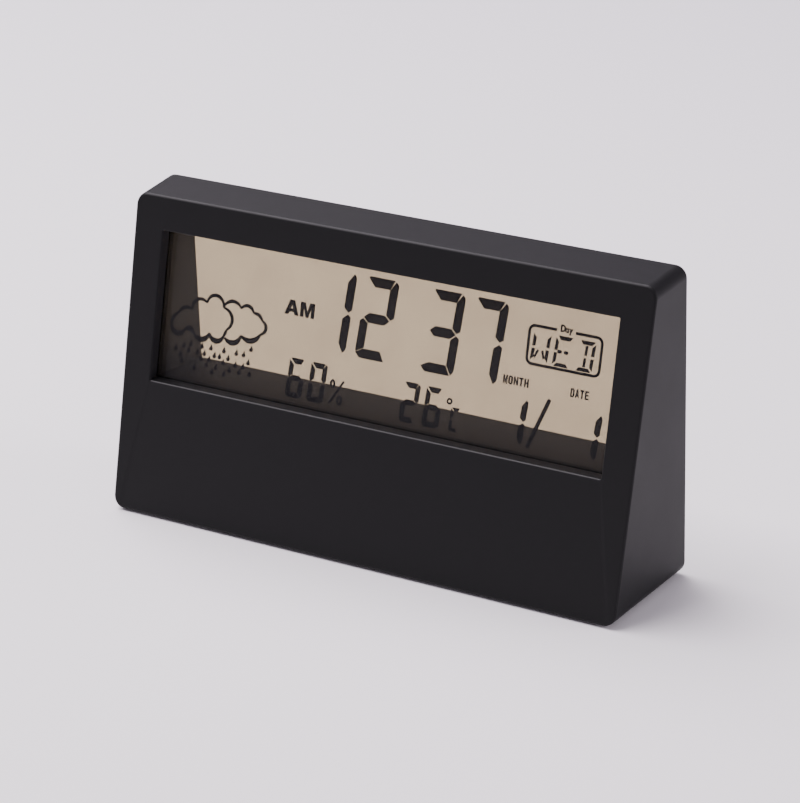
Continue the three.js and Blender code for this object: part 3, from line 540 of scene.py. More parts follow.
def front_shell_rings(front_edge, rear_edge):
    """The shell from its rear rim, over the outside, round the window's edges and back inside.

    A rounded edge is a quarter circle: its inset falls or rises while y does the opposite."""
    turn = np.linspace(0.0, np.pi / 2, EDGE_STEPS + 1)
    falling = 1 - np.sin(turn)
    rising = 1 - np.cos(turn)
    rim = CASE_CORNER - RIM_WALL
    rings = [case_ring(RIM_WALL, y, rim, False) for y in (RIM_REBATE_Y, CASE_DEPTH - RIM_CHAMFER)]
    for inset, y in zip(REAR_EDGE * falling, CASE_DEPTH - REAR_EDGE * rising):
        rings.append(case_ring(inset, y, CASE_CORNER - inset, False))
    for inset, y in zip(FRONT_EDGE * rising, FRONT_EDGE * falling):
        rings.append(case_ring(inset, y, CASE_CORNER - inset, True))
    for outset, y in zip(front_edge * falling, front_edge * rising):
        rings.append(window_ring(outset, y, WINDOW_CORNER + outset))
    for outset, y in zip(rear_edge * rising, WINDOW_WALL - rear_edge * falling):
        rings.append(window_ring(outset, y, WINDOW_CORNER + outset))
    rings.append(window_ring(FRAME_OUTSET, WINDOW_WALL, INNER_CORNER))
    rings.append(window_ring(FRAME_OUTSET, FRONT_WALL, INNER_CORNER))
    rings.append(case_ring(CASE_WALL, FRONT_WALL, INNER_CORNER, True))
    rings.append(case_ring(CASE_WALL, RIM_REBATE_Y, INNER_CORNER, False))
    return np.array(rings)


# Liquid crystal symbols

# Segments of one digit. A corner is four numbers: shares of the width and of the stroke that give
# its place across, and shares of the height and of the stroke that give its place up the glass.
SEGMENTS = {
    "a": [(0, 0.42, 1, 0), (1, -0.52, 1, 0), (1, -0.98, 1, -1.06), (0, 1.15, 1, -1.06), (0, 0.26, 1, -0.14)],
    "b": [
        (1, -0.36, 1, -0.12), (1, -0.07, 1, -0.42), (1, 0, 1, -0.75), (1, 0, 0.5, 0.38),
        (1, -0.42, 0.5, 0.1), (1, -1, 0.5, 0.6), (1, -1, 1, -1.08),
    ],
    "d": [(0, 0.6, 0, 0), (1, -0.44, 0, 0), (1, -1.05, 0, 1.04), (0, 0.92, 0, 1.04), (0, 0.02, 0, 0.55)],
    "e": [
        (0, 0, 0, 0.7), (0, 0, 0.5, -0.4), (0, 0.35, 0.5, -0.12),
        (0, 1, 0.5, -0.6), (0, 1, 0, 1.12), (0, 0.1, 0, 0.64),
    ],
    "f": [(0, 0, 1, -0.32), (0, 1, 1, -1.3), (0, 1, 0.5, 0.6), (0, 0.35, 0.5, 0.12), (0, 0, 0.5, 0.4)],
    "g": [
        (0, 0.4, 0.5, 0), (0, 1, 0.5, 0.53), (1, -1.08, 0.5, 0.53),
        (1, -0.48, 0.5, 0), (1, -1.08, 0.5, -0.53), (0, 1, 0.5, -0.53),
    ],
}
SEGMENTS["c"] = [(w, s, 1 - h, -t) for w, s, h, t in SEGMENTS["b"]]
DIGITS = {"0": "abcdef", "1": "bc", "2": "abdeg", "3": "abcdg", "6": "acdefg", "7": "abc", "C": "adef"}
SLANT = 0.0725  # of the digits, to the right for each millimetre up


def mirrored(points):
    """The points of a letter's left half turned into those of its right half."""
    return [(1 - x, z) for x, z in reversed(points)]


# Capital letters, as filled outlines in a box of one by one, most of them by their left halves
LEFT_HALVES = {
    "A": [
        (0, 0), (0.29, 0), (0.36, 0.19), (0.5, 0.19), (0.5, 0.42),
        (0.43, 0.42), (0.5, 0.68), (0.5, 1), (0.33, 1),
    ],
    "M": [(0, 0), (0.25, 0), (0.25, 0.58), (0.4, 0), (0.5, 0), (0.5, 0.4), (0.34, 1), (0, 1)],
    "O": [
        (0.5, 0), (0.5, 0.17), (0.39, 0.26), (0.39, 0.74), (0.5, 0.83),
        (0.5, 1), (0.25, 1), (0, 0.82), (0, 0.18), (0.25, 0),
    ],
    "D": [(0, 0), (0.5, 0), (0.5, 0.17), (0.38, 0.17), (0.38, 0.83), (0.5, 0.83), (0.5, 1), (0, 1)],
    "H": [(0, 0), (0.36, 0), (0.36, 0.4), (0.5, 0.4), (0.5, 0.6), (0.36, 0.6), (0.36, 1), (0, 1)],
    "T": [(0.32, 0), (0.5, 0), (0.5, 1), (0, 1), (0, 0.79), (0.32, 0.79)],
    "N": [(0, 0), (0.3, 0), (0.3, 0.62), (0.5, 0.2), (0.5, 0.62), (0.32, 1), (0, 1)],
}
LETTERS = {letter: [half, mirrored(half)] for letter, half in LEFT_HALVES.items()}
LETTERS["D"][1] = LETTERS["O"][1]
LETTERS["N"][1] = [(1 - x, 1 - z) for x, z in LEFT_HALVES["N"]]
LETTERS["E"] = [[
    (0, 0), (1, 0), (1, 0.2), (0.42, 0.2), (0.42, 0.41), (0.9, 0.41),
    (0.9, 0.6), (0.42, 0.6), (0.42, 0.8), (1, 0.8), (1, 1), (0, 1),
]]


# The weekday: each bar's corners as shares of a letter's width and height, and the letters
WEEKDAY_BARS = {
    "left_upper": [(0.02, 0.95), (0.2, 0.82), (0.2, 0.52), (0.02, 0.52)],
    "left_lower": [(0.02, 0.44), (0.2, 0.44), (0.2, 0.15), (0.02, 0.02)],
    "left_leg": [(0.33, 0.42), (0.44, 0.38), (0.28, 0.1), (0.19, 0.16)],
    "half_left": [(0.18, 0.48), (0.24, 0.54), (0.4, 0.54), (0.46, 0.48), (0.4, 0.42), (0.24, 0.42)],
    "middle_upper": [(0.43, 0.86), (0.58, 0.86), (0.58, 0.52), (0.43, 0.52)],
    "middle_lower": [(0.43, 0.44), (0.58, 0.44), (0.58, 0.12), (0.43, 0.12)],
    "top": [(0.13, 1.02), (0.93, 1.02), (0.78, 0.88), (0.27, 0.88)],
    "low": [(0.1, -0.03), (0.25, 0.1), (0.76, 0.1), (0.91, -0.03)],
}
for bar in ("left_upper", "left_lower", "left_leg", "half_left"):
    WEEKDAY_BARS[bar.replace("left", "right")] = mirrored(WEEKDAY_BARS[bar])
WEEKDAY = [
    (36.4, "left_upper left_lower right_upper right_lower left_leg right_leg"),
    (41.85, "left_upper left_lower top low half_left half_right"),
    (47.3, "middle_upper middle_lower right_upper right_lower top low"),
]
WEEKDAY_LOW = 20.7
WEEKDAY_HEIGHT = 6.47
WEEKDAY_WIDTH = 4.45

# The weather sign: the dips and the arcs' bulges of each cloud, and the drops' places by height
CLOUD_LINE = 0.5
CLOUD_SWELL = 0.4
CLOUD_SHADE = 0.85
CLOUD_UNDERSIDE = 1.0  # an arc of the underside runs left by more than this
NEAR_CLOUD = [
    (-47.7, 18.95), (-43.1, 18.5), (-41.9, 13.6), (-42.5, 12.0), (-46.4, 12.1), (-50.7, 11.3),
    (-53.2, 11.85), (-57.0, 12.3), (-55.2, 15.4), (-51.7, 16.7), (-47.7, 18.95),
]
NEAR_BULGES = [2.3, 2.0, 0.1, 1.5, 1.45, -0.6, 1.55, 0.55, 0.85, 1.6]
FAR_CLOUD = [
    (-43.0, 18.9), (-38.3, 19.2), (-34.9, 18.6), (-32.5, 17.3),
    (-32.6, 14.2), (-37.8, 13.0), (-42.2, 11.8),
]
FAR_BULGES = [1.4, 1.2, 0.6, 1.3, 1.4, 1.5]
DROP_RADIUS = 0.54
DROPS = {
    10.2: (-34.7,),
    8.6: (-51.2, -48.1, -45.6, -42.0, -38.6, -36.6),
    7.9: (-53.1,),
    7.0: (-55.3, -51.7, -49.2, -47.3, -44.5, -43.1, -40.7, -35.2),
    5.8: (-53.9, -48.1, -45.9, -42.0, -38.6, -36.5),
    4.4: (-53.4, -46.5, -43.8, -40.1, -37.4, -34.6),
    3.2: (-49.8, -44.8, -41.5),
}

# The other symbols, by their places across and up from the sill's middle
FIGURES = [  # digits with their left edges, then the low edge, width, height and stroke
    ([("1", -18.41), ("2", -7.45), ("3", 9.55), ("7", 20.4)], 13.58, 8.55, 18.64, 2.14),
    ([("6", -24.65), ("0", -18.9), ("2", 5.45), ("6", 11.35)], 1.35, 4.38, 9.15, 1.24),
    ([("C", 18.25)], 1.55, 2.55, 5.4, 0.74),
    ([("1", 30.78), ("1", 48.9)], 1.7, 6.0, 10.35, 1.52),
]
SLASHES = [  # start, end and width
    ((38.1, 1.45), (42.5, 13.15), 0.95),
    ((-12.8, 1.85), (-9.35, 7.5), 0.5),
]
SLASH_TAPER = 0.2
RINGS = [  # middle, half width, half height and line: of a degree, a percent sign and a letter
    (18.0, 8.12, 0.52, 0.54, 0.42),
    (-12.25, 6.5, 0.44, 0.72, 0.54),
    (-10.15, 2.96, 0.5, 0.88, 0.54),
    (44.72, 28.68, 0.3, 0.38, 0.34),
]
WORDS = [  # left and low edges, height, width and gap
    ("AM", -26.75, 20.1, 3.42, 7.95, 0.3),
    ("MONTH", 30.6, 14.6, 1.95, 6.35, 0.2),
    ("DATE", 47.2, 14.6, 1.95, 4.5, 0.2),
]
DAY_STROKES = [  # of the frame's caption, beside its ring: points across and up, and the line
    ([45.08, 45.08], [28.15, 29.22], 0.28),
    ([45.4, 45.7], [29.22, 28.3], 0.34),
    ([46.02, 45.48], [29.22, 27.75], 0.34),
]
DAY_CAPITAL = ([43.35, 43.35, 43.85, 44.2, 44.2, 43.85], [28.35, 29.6, 29.6, 29.3, 28.65, 28.35], 0.38)
DAY_FRAME = (35.75, 53.45, 20.02, 28.45)  # left, right, low and high edges
DAY_CORNER = 1.3
DAY_GAP = (42.3, 46.9)
DAY_LINE = 0.67


class SymbolSheet:
    """Collects the flat outlines of the symbols, then makes one thin mesh of them."""

    def __init__(self):
        self.work = bmesh.new()

    def add_area(self, u, v):
        """A filled outline, from arrays of places across and up the display."""
        corners = on_display(np.array(u), SYMBOL_Y, np.array(v))
        self.work.faces.new([self.work.verts.new(corner) for corner in corners])

    def add_line(self, u, v, width, closed=False):
        """A line of the given width through points, with mitred corners.

        The offset at a corner is (n1 + n2) / (1 + n1 . n2) times half the width, for the normals
        n1 and n2 of the two stretches that meet there."""
        points = np.stack([u, v], axis=-1).astype(float)
        after = np.roll(points, -1, axis=0) - points
        if not closed:
            after[-1] = after[-2]
        after /= np.linalg.norm(after, axis=1)[:, None]
        before = np.roll(after, 1, axis=0)
        if not closed:
            before[0] = after[0]
        normals = [np.stack([-side[:, 1], side[:, 0]], axis=-1) for side in (before, after)]
        share = 1 + (normals[0] * normals[1]).sum(axis=1)[:, None]
        across = (normals[0] + normals[1]) / share
        across = across * np.broadcast_to(width, len(points))[:, None] / 2
        rows = []
        for edge in (points + across, points - across):
            places = on_display(edge[:, 0], SYMBOL_Y, edge[:, 1])
            rows.append([self.work.verts.new(place) for place in places])
        count = len(points)
        for i in range(count if closed else count - 1):
            j = (i + 1) % count
            self.work.faces.new([rows[0][i], rows[0][j], rows[1][j], rows[1][i]])

    def add_digit(self, digit, left, low, width, height, stroke):
        """A seven-segment digit: the corners of SEGMENTS at this size, slanted by SLANT."""
        for segment in DIGITS[digit]:
            shares = np.array(SEGMENTS[segment])
            rise = shares[:, 2] * height + shares[:, 3] * stroke
            across = shares[:, 0] * width + shares[:, 1] * stroke
            self.add_area(left + across + SLANT * rise, low + rise)

    def add_slash(self, start, end, width):
        """A straight bar with pointed ends, along the line from start to end."""
        start = np.array(start)
        end = np.array(end)
        along = (end - start) / np.linalg.norm(end - start)
        across = np.array([-along[1], along[0]]) * width / 2
        cut = along * width * SLASH_TAPER
        left = [start, start + cut + across, end - cut + across]
        right = [end, end - cut - across, start + cut - across]
        self.add_area(*np.array(left + right).T)

    def add_word(self, word, left, low, height, width, gap):
        """Capital letters of equal width, from the outlines of LETTERS."""
        step = (width + gap) / len(word)
        for number, letter in enumerate(word):
            for outline in LETTERS[letter]:
                shares = np.array(outline, float)
                across = left + number * step + shares[:, 0] * (step - gap)
                self.add_area(across, low + shares[:, 1] * height)

    def to_mesh(self, name):
        """The outlines as closed plates of SYMBOL_THICKNESS."""
        bmesh.ops.remove_doubles(self.work, verts=self.work.verts, dist=2 * SAME_PLACE * MM)
        bmesh.ops.recalc_face_normals(self.work, faces=self.work.faces)
        into = Vector(on_display(0.0, 1.0, 0.0) - on_display(0.0, 0.0, 0.0)).normalized()
        made = bmesh.ops.extrude_face_region(self.work, geom=self.work.faces[:])
        moved = [item for item in made["geom"] if isinstance(item, bmesh.types.BMVert)]
        bmesh.ops.translate(self.work, verts=moved, vec=into * SYMBOL_THICKNESS * MM)
        bmesh.ops.recalc_face_normals(self.work, faces=self.work.faces)
        mesh = bpy.data.meshes.new(name)
        self.work.to_mesh(mesh)
        self.work.free()
        return mesh


def arc_through(start, end, bulge):
    """Points of the arc from start to end whose middle stands bulge to the left of the straight
    line between them."""
    start = np.array(start, float)
    end = np.array(end, float)
    half = np.linalg.norm(end - start) / 2
    along = (end - start) / (2 * half)
    left = np.array([-along[1], along[0]])
    depth = abs(bulge)
    radius = (half**2 + depth**2) / (2 * depth)
    sweep = np.arctan2(half, radius - depth)
    angle = np.linspace(-sweep, sweep, ARC_STEPS)
    rise = np.sign(bulge) * (radius * np.cos(angle) + depth - radius)
    return (start + end) / 2 + np.outer(radius * np.sin(angle), along) + np.outer(rise, left)


def add_cloud(sheet, dips, bulges):
    """A cloud's outline, clockwise: arcs between its dips, each bulging outwards and broadest at
    its middle, and broader along the cloud's underside."""
    for start, end, bulge in zip(dips[:-1], dips[1:], bulges):
        points = arc_through(start, end, bulge)
        swell = np.sin(np.linspace(0.0, np.pi, len(points)))
        broadest = CLOUD_SHADE if start[0] - end[0] > CLOUD_UNDERSIDE else CLOUD_SWELL
        sheet.add_line(points[:, 0], points[:, 1], CLOUD_LINE + broadest * swell)


def add_raindrops(sheet):
    """Rows of drops; a drop is a circle whose upper half is drawn up to a point."""
    turn = full_turn(DROP_STEPS)
    rise = -DROP_RADIUS * np.cos(turn)
    point = np.maximum(0.0, rise) / DROP_RADIUS
    across = DROP_RADIUS * np.sin(turn) * (1 - 0.75 * point) + 0.12 * point
    rise = rise + DROP_RADIUS * point**2
    for height, places in DROPS.items():
        for place in places:
            sheet.add_area(place + across, height + rise)


def add_weekday(sheet):
    """The day of the week, in letters of slanted bars."""
    for left, bars in WEEKDAY:
        for bar in bars.split():
            shares = np.array(WEEKDAY_BARS[bar])
            rise = shares[:, 1] * WEEKDAY_HEIGHT
            sheet.add_area(left + shares[:, 0] * WEEKDAY_WIDTH + SLANT * rise, WEEKDAY_LOW + rise)


def add_day_frame(sheet):
    """The round-cornered frame round the weekday, open at the top for its caption."""
    left, right, low, high = DAY_FRAME
    u, v = rounded_rectangle(left, right, low, high, DAY_CORNER)
    start = int(np.argmin(np.hypot(u - (left + DAY_CORNER), v - high)))
    u = np.concatenate([DAY_GAP[:1], np.roll(u, -start), DAY_GAP[1:]])
    v = np.concatenate([[high], np.roll(v, -start), [high]])
    sheet.add_line(u, v, DAY_LINE)


def display_symbols():
    """Everything that the display shows, in millimetres across and up from the sill's middle."""
    sheet = SymbolSheet()
    for places, low, width, height, stroke in FIGURES:
        for digit, left in places:
            sheet.add_digit(digit, left, low, width, height, stroke)
    for slash in SLASHES:
        sheet.add_slash(*slash)
    turn = full_turn(RING_STEPS)
    for across, up, half_width, half_height, line in RINGS:
        sheet.add_line(across + half_width * np.cos(turn), up + half_height * np.sin(turn), line, True)
    for word in WORDS:
        sheet.add_word(*word)
    sheet.add_line(*DAY_CAPITAL, True)
    for stroke in DAY_STROKES:
        sheet.add_line(*stroke)
    add_day_frame(sheet)
    add_weekday(sheet)
    add_cloud(sheet, NEAR_CLOUD, NEAR_BULGES)
    add_cloud(sheet, FAR_CLOUD, FAR_BULGES)
    add_raindrops(sheet)
    return sheet.to_mesh("display_symbols")


def pane_rings(glass_front, glass_low, film_front):
    """A glass sheet with its film, as one stepped slab, from its front face to its rear face."""
    glass = (GLASS_HALF, glass_low, GLASS_TOP)
    film = (FILM_HALF, FILM_LOW, FILM_TOP)
    glass_rear = glass_front + GLASS
    if film_front < glass_front:
        steps = [(film, film_front), (film, glass_front), (glass, glass_front), (glass, glass_rear)]
    else:
        steps = [(glass, glass_front), (glass, glass_rear), (film, glass_rear), (film, film_front + FILM)]
    rings = []
    for (half, low, high), y in steps:
        u, v = rounded_rectangle(-half, half, low, high, PANE_CORNER, 3)
        rings.append(on_display(u, y, v))
    return np.array(rings)


# Cells and their contacts, in millimetres of the CAD frame


def node_box(node):
    """A node's lowest and highest corners, in millimetres."""
    low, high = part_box(node)
    return np.array(low) / MM, np.array(high) / MM


def cell_rings(node, direction):
    """A dry cell's can and its sleeve, as turned profiles from its flat end to its nub."""
    low, high = node_box(node)
    radius = (high[2] - low[2]) / 2
    length = high[0] - low[0]
    body = length - CELL_NUB_HEIGHT
    centre = (low + high) / 2
    start = (low[0] if direction > 0 else high[0], centre[1], centre[2])
    inner = radius - CELL_SLEEVE
    dent = 0.1
    can = [
        (0.01, 0.25), (3.0, 0.25), (3.25, dent), (inner - 0.5, dent), (inner - 0.15, 0.25),
        (inner, 0.6), (inner, body - 0.6), (inner - 0.15, body - 0.25), (inner - 0.5, body - dent),
        (2.9, body - dent), (2.7, body - 0.2), (2.1, body - 0.2), (1.9, body - 0.05),
        (1.9, length - 0.3), (1.82, length - 0.1), (1.6, length), (0.01, length),
    ]
    outside = [
        (inner - 1.1, 0.0), (inner - 0.5, 0.0), (radius - 0.12, 0.2), (radius, 0.6),
        (radius, body - 0.6), (radius - 0.12, body - 0.2), (inner - 0.5, body), (inner - 1.1, body),
    ]
    inside = [
        (inner - 1.1, body - dent), (inner - 0.5, body - dent), (inner, body - 0.6),
        (inner, 0.6), (inner - 0.5, dent), (inner - 1.1, dent),
    ]
    return turned_rings(can, start, direction), turned_rings(outside + inside, start, direction)


def plate_mesh(name, left, right, front, rear, low, high, corner):
    """A stamped plate across X: its outline, one step in at each face for the rolled edge."""
    edge = 0.06
    rings = []
    for x, inset in ((left, edge), (left + edge, 0.0), (right - edge, 0.0), (right, edge)):
        y, z = rounded_rectangle(front + inset, rear - inset, low + inset, high - inset, corner - inset, 4)
        rings.append(np.stack([np.full(len(y), x), y, z], axis=-1) * MM)
    return rings_to_mesh(name, np.array(rings))


def spring_mesh(name, plate_x, direction, y, z):
    """A conical spring: radius falls evenly with each turn as it rises from its plate, and its
    first and last turns lie flat."""
    share = np.linspace(0.0, 1.0, 24 * int(SPRING_TURNS) + 12)
    angle = 2 * np.pi * SPRING_TURNS * share
    radius = SPRING_BASE + (SPRING_TIP - SPRING_BASE) * share
    rise = SPRING_WIRE / 2 + (SPRING_LENGTH - SPRING_WIRE) * (3 * share**2 - 2 * share**3)
    path = np.stack(
        [plate_x + direction * rise, y + radius * np.cos(angle), z + radius * np.sin(angle)], axis=-1
    )
    return rings_to_mesh(name, tube_rings(path * MM, SPRING_WIRE / 2 * MM, np.array([1.0, 0.0, 0.0])))


def contact_meshes(node, side, springs, tab):
    """A contact's plate, its spring and its solder tab; side is +1 at the right end of the bay."""
    low, high = node_box(node)
    thickness = 0.4
    outer = high[0] if side > 0 else low[0]
    left, right = sorted((outer, outer - side * thickness))
    front = high[1] - CONTACT_WIDTH
    meshes = [plate_mesh("plate", left, right, front, high[1], low[2], high[2], 0.8)]
    if tab:
        middle = (low[2] + high[2]) / 2
        meshes.append(plate_mesh("tab", left, right, low[1], front + 1, middle - 1.3, middle + 1.3, 0.3))
    centre = high[1] - CONTACT_WIDTH / 2
    for z in springs:
        meshes.append(spring_mesh("spring", outer - side * thickness, -side, centre, z))
    return join_meshes(node + "_skin", meshes)


# Settings, with a default for each size and colour that someone would change


def colour(name, description, code):
    return FloatVectorProperty(name=name, description=description, subtype="COLOR", default=linear(code))


def radius(name, description, millimetres):
    return FloatProperty(name=name, description=description, unit="LENGTH", default=millimetres * MM)


def power(name, description, watts):
    return FloatProperty(name=name, description=description, unit="POWER", default=watts)


class ClockCaseSettings(bpy.types.PropertyGroup):
    plastic: colour("Case plastic", "Colour of the black ABS", "#111112")
    plastic_roughness: FloatProperty(
        name="Case roughness", description="Roughness of the surface", default=0.48, min=0.05, max=1.0
    )
    grain: FloatProperty(
        name="Grain", description="Spacing of the moulded grain in millimetres", default=0.3, min=0.05
    )
    window_front_edge: radius("Front edge", "Radius of the window's front edge", 0.4)
    window_rear_edge: radius("Rear edge", "Radius of the window's rear edge", 0.6)
    moulded_edge: radius("Moulded edges", "Radius of the cover's and door's edges", 0.2)


class ClockDisplaySettings(bpy.types.PropertyGroup):
    tint: colour("Film tint", "Light that one face lets through", "#e6e1d5")
    symbols: colour("Symbols", "Colour of the switched crystal", "#070708")


class ClockStageSettings(bpy.types.PropertyGroup):
    paper: colour("Paper", "Colour of the floor at the clock", "#f8f6f7")
    backdrop: colour("Backdrop", "Colour of the paper far behind", "#e0dee4")
    top_light: power("Top light", "Power of the large light overhead", 37.0)
    side_light: power("Side light", "Power of the soft light at the right", 5.4)
    surroundings: FloatProperty(
        name="Surroundings", description="Brightness of the room round the stage", default=0.49, min=0.0
    )


# Operators


class CLOCK_OT_stage(bpy.types.Operator):
    """Adds the paper sweep, the soft lights and the camera of the photograph."""

    bl_idname = "clock.stage"
    bl_label = "Stage, lights and camera"

    def execute(self, context):
        settings = context.scene.clock_stage
        across = np.array([-SWEEP_HALF, SWEEP_HALF])
        angle = np.linspace(0.0, np.pi / 2, 16)
        bend_y = SWEEP_BEND_Y + SWEEP_BEND * np.sin(angle)
        y = np.concatenate([[-SWEEP_HALF], bend_y, bend_y[-1:]])
        z = np.concatenate([[0.0], SWEEP_BEND * (1 - np.cos(angle)), [SWEEP_TOP]])
        grid = np.stack(np.broadcast_arrays(across[:, None], y[None, :], z[None, :]), axis=-1)
        count = len(y)
        faces = [(i, i + count, i + count + 1, i + 1) for i in range(count - 1)]
        mesh = bpy.data.meshes.new("paper_sweep")
        mesh.from_pydata(grid.reshape(-1, 3).tolist(), [], faces)
        mesh.polygons.foreach_set("use_smooth", np.ones(len(mesh.polygons), bool))
        paper = studio_paper("matt_paper", tuple(settings.paper), tuple(settings.backdrop))
        mesh.materials.append(paper)
        sweep = bpy.data.objects.new("paper_sweep", mesh)
        context.scene.collection.objects.link(sweep)
        self.add_lights(context, settings)
        self.add_camera(context)
        return {"FINISHED"}

    def add_lights(self, context, settings):
        """Soft lamps, each a rectangle turned towards the clock."""
        lamps = [
            ("overhead_softbox", (-0.55, 0.12, 1.1), (1.2, 1.1), settings.top_light),
            ("side_softbox", (1.1, 0.35, 0.45), (0.6, 0.6), settings.side_light),
        ]
        for name, place, size, power in lamps:
            data = bpy.data.lights.new(name, "AREA")
            data.shape = "RECTANGLE"
            data.size, data.size_y = size
            data.energy = power
            data.color = linear(LAMP_COLOUR)
            lamp = bpy.data.objects.new(name, data)
            lamp.location = place
            lamp.rotation_euler = (LAMP_AIM - lamp.location).to_track_quat("-Z", "Y").to_euler()
            context.scene.collection.objects.link(lamp)
        world = bpy.data.worlds.new("room")
        world.use_nodes = True
        background = world.node_tree.nodes["Background"]
        background.inputs["Color"].default_value = (*linear(ROOM_COLOUR), 1.0)
        background.inputs["Strength"].default_value = settings.surroundings
        context.scene.world = world

    def add_camera(self, context):
        """A pinhole on a sphere about the target, then shifted in its own picture plane."""
        azimuth, elevation, roll = np.radians([CAMERA_AZIMUTH, CAMERA_ELEVATION, CAMERA_ROLL])
        level_back = np.cos(elevation)
        back = Vector((np.sin(azimuth) * level_back, -np.cos(azimuth) * level_back, np.sin(elevation)))
        level = Vector((np.cos(azimuth), np.sin(azimuth), 0.0))
        upright = back.cross(level)
        right = level * np.cos(roll) + upright * np.sin(roll)
        up = upright * np.cos(roll) - level * np.sin(roll)
        place = Vector(CAMERA_TARGET) + back * CAMERA_DISTANCE
        place -= right * CAMERA_SHIFT[0] + up * CAMERA_SHIFT[1]
        data = bpy.data.cameras.new("photo_camera")
        data.sensor_fit = "HORIZONTAL"
        data.sensor_width = SENSOR_WIDTH
        data.lens = FOCAL_PIXELS / PHOTO_WIDTH * SENSOR_WIDTH
        data.clip_start = 0.05
        data.clip_end = 20.0
        camera = bpy.data.objects.new("photo_camera", data)
        turned = Matrix((right, up, back)).transposed().to_4x4()
        camera.matrix_world = Matrix.Translation(place * MM + CASE_ORIGIN) @ turned
        context.scene.collection.objects.link(camera)
        context.scene.camera = camera


class CLOCK_OT_case(bpy.types.Operator):
    """Makes the front shell, the rear cover with its light well, and the battery door."""

    bl_idname = "clock.case"
    bl_label = "Case"

    def execute(self, context):
        settings = context.scene.clock_case
        black = tuple(settings.plastic)
        grain = settings.grain
        plastic = moulded_abs("moulded_black_abs", black, settings.plastic_roughness, grain)
        # Painted shade: the window's side walls get a dull copy of the black plastic without sheen, which
        # keeps them dark
        shaded_wall = grained("painted_shade_wall_abs", "#252527", 0.8, 0.3, 0.02, ior=1.2)
        # Painted sheen: the sill gets a glossier copy of the case plastic, to brighten it
        sill = moulded_abs("painted_sheen_sill_abs", black, 0.42, grain, ior=1.37)
        rings = front_shell_rings(settings.window_front_edge / MM, settings.window_rear_edge / MM)
        mesh = rings_to_mesh("front_shell_skin", rings, close_rows=True)
        finishes = [plastic, shaded_wall, sill]
        add_piece("front_shell_skin", mesh, finishes, "case", ["front_shell"])
        self.paint_window_shade_and_sheen(mesh)
        edge = settings.moulded_edge / MM
        # Painted shade: the rear cover gets a copy of the case plastic at 0.7 times its colour, darker than
        # the front shell
        matt = moulded_abs("painted_shade_cover_abs", tuple(0.7 * part for part in black), 0.52, grain, ior=1.315)
        cover = soft_edged("rear_cover", "rear_cover_skin", matt, "case", edge)
        # Painted light: the light well's walls get a paler, bluer copy of the black plastic
        well_lit_grey = tuple(np.multiply(black, WELL_PAINTED_LIGHT))
        cover.data.materials.append(moulded_abs("painted_light_well_abs", well_lit_grey, 0.52, grain, ior=1.33))
        self.paint_light_in_well(cover.data)
        soft_edged("battery_door", "battery_door_skin", plastic, "battery_cover", edge)
        return {"FINISHED"}

    def paint_window_shade_and_sheen(self, mesh):
        """Gives the window's two upright walls, which face each other, the second finish, a dull copy
        with painted shade, and its sill, which faces up, the third, a glossier copy with a painted sheen."""
        middles, normals = faces_of(mesh)
        across = middles[:, 0] / MM
        outwards = np.abs(across) - WINDOW_HALF
        beside = (outwards > SIDE_WALL_BAND[0]) & (outwards < SIDE_WALL_BAND[1])
        facing_in = normals[:, 0] * np.sign(across) < -0.8
        rise = (middles[:, 2] - CASE_ORIGIN.z) / MM - WINDOW_LOW
        below = (np.abs(across) < 1.0) & (rise > SILL_BAND[0]) & (rise < SILL_BAND[1])
        facing_up = normals[:, 2] > 0.05
        finish = (beside & facing_in) + 2 * (below & facing_up)
        mesh.polygons.foreach_set("material_index", finish.astype(np.int32))

    def paint_light_in_well(self, mesh):
        """Gives the second finish to the light well's four walls, which face its middle: a paler, bluer copy
        of the plastic, with painted light.
        """
        middles, normals = faces_of(mesh)
        openings = {opening["name"]: opening for opening in frame["record"]["physics"]["openings"]}
        low, high = np.array(openings["light_well_mouth"]["box_m"])
        margin = WELL_MARGIN * MM
        beside = ((middles > low - margin) & (middles < high + margin))[:, [0, 2]].all(axis=1)
        facing_in = (((low + high) / 2 - middles) * normals).sum(axis=1) > 0
        mesh.polygons.foreach_set("material_index", (beside & facing_in).astype(np.int32))


class CLOCK_OT_display(bpy.types.Operator):
    """Makes the display's two glass sheets with their films, and the symbols between them."""

    bl_idname = "clock.display"
    bl_label = "Display"

    def execute(self, context):
        settings = context.scene.clock_display
        glass = polarised_glass("polarised_display_glass", tuple(settings.tint))
        front = pane_rings(FRONT_GLASS_Y, LEDGE_LOW, 0.0)
        rear = pane_rings(REAR_GLASS_Y, GLASS_LOW, REAR_FILM_Y)
        panes = [
            ("front_pane", front, ["front_polariser", "lcd_front_glass"]),
            ("rear_pane", rear, ["lcd_rear_glass", "rear_polariser"]),
        ]
        for name, rings, nodes in panes:
            add_piece(name, rings_to_mesh(name, rings), [glass], "case", nodes, flat=True)
        crystal = liquid_crystal("switched_liquid_crystal", tuple(settings.symbols))
        add_piece("display_symbols", display_symbols(), [crystal], "case", flat=True)
        return {"FINISHED"}


class CLOCK_OT_keys(bpy.types.Operator):
    """Makes the five keys on the back and gives their switches a finish."""

    bl_idname = "clock.keys"
    bl_label = "Keys"

    def execute(self, context):
        rubbery = grained("moulded_key_abs", "#1f1f21", 0.42, 0.2, 0.01)
        for number in range(1, 6):
            body = f"key_{number}"
            soft_edged(f"button_{number}", f"key_cap_{number}", rubbery, body, 0.3, 3)
            give_material(f"switch_plunger_{number}", rubbery)
        return {"FINISHED"}


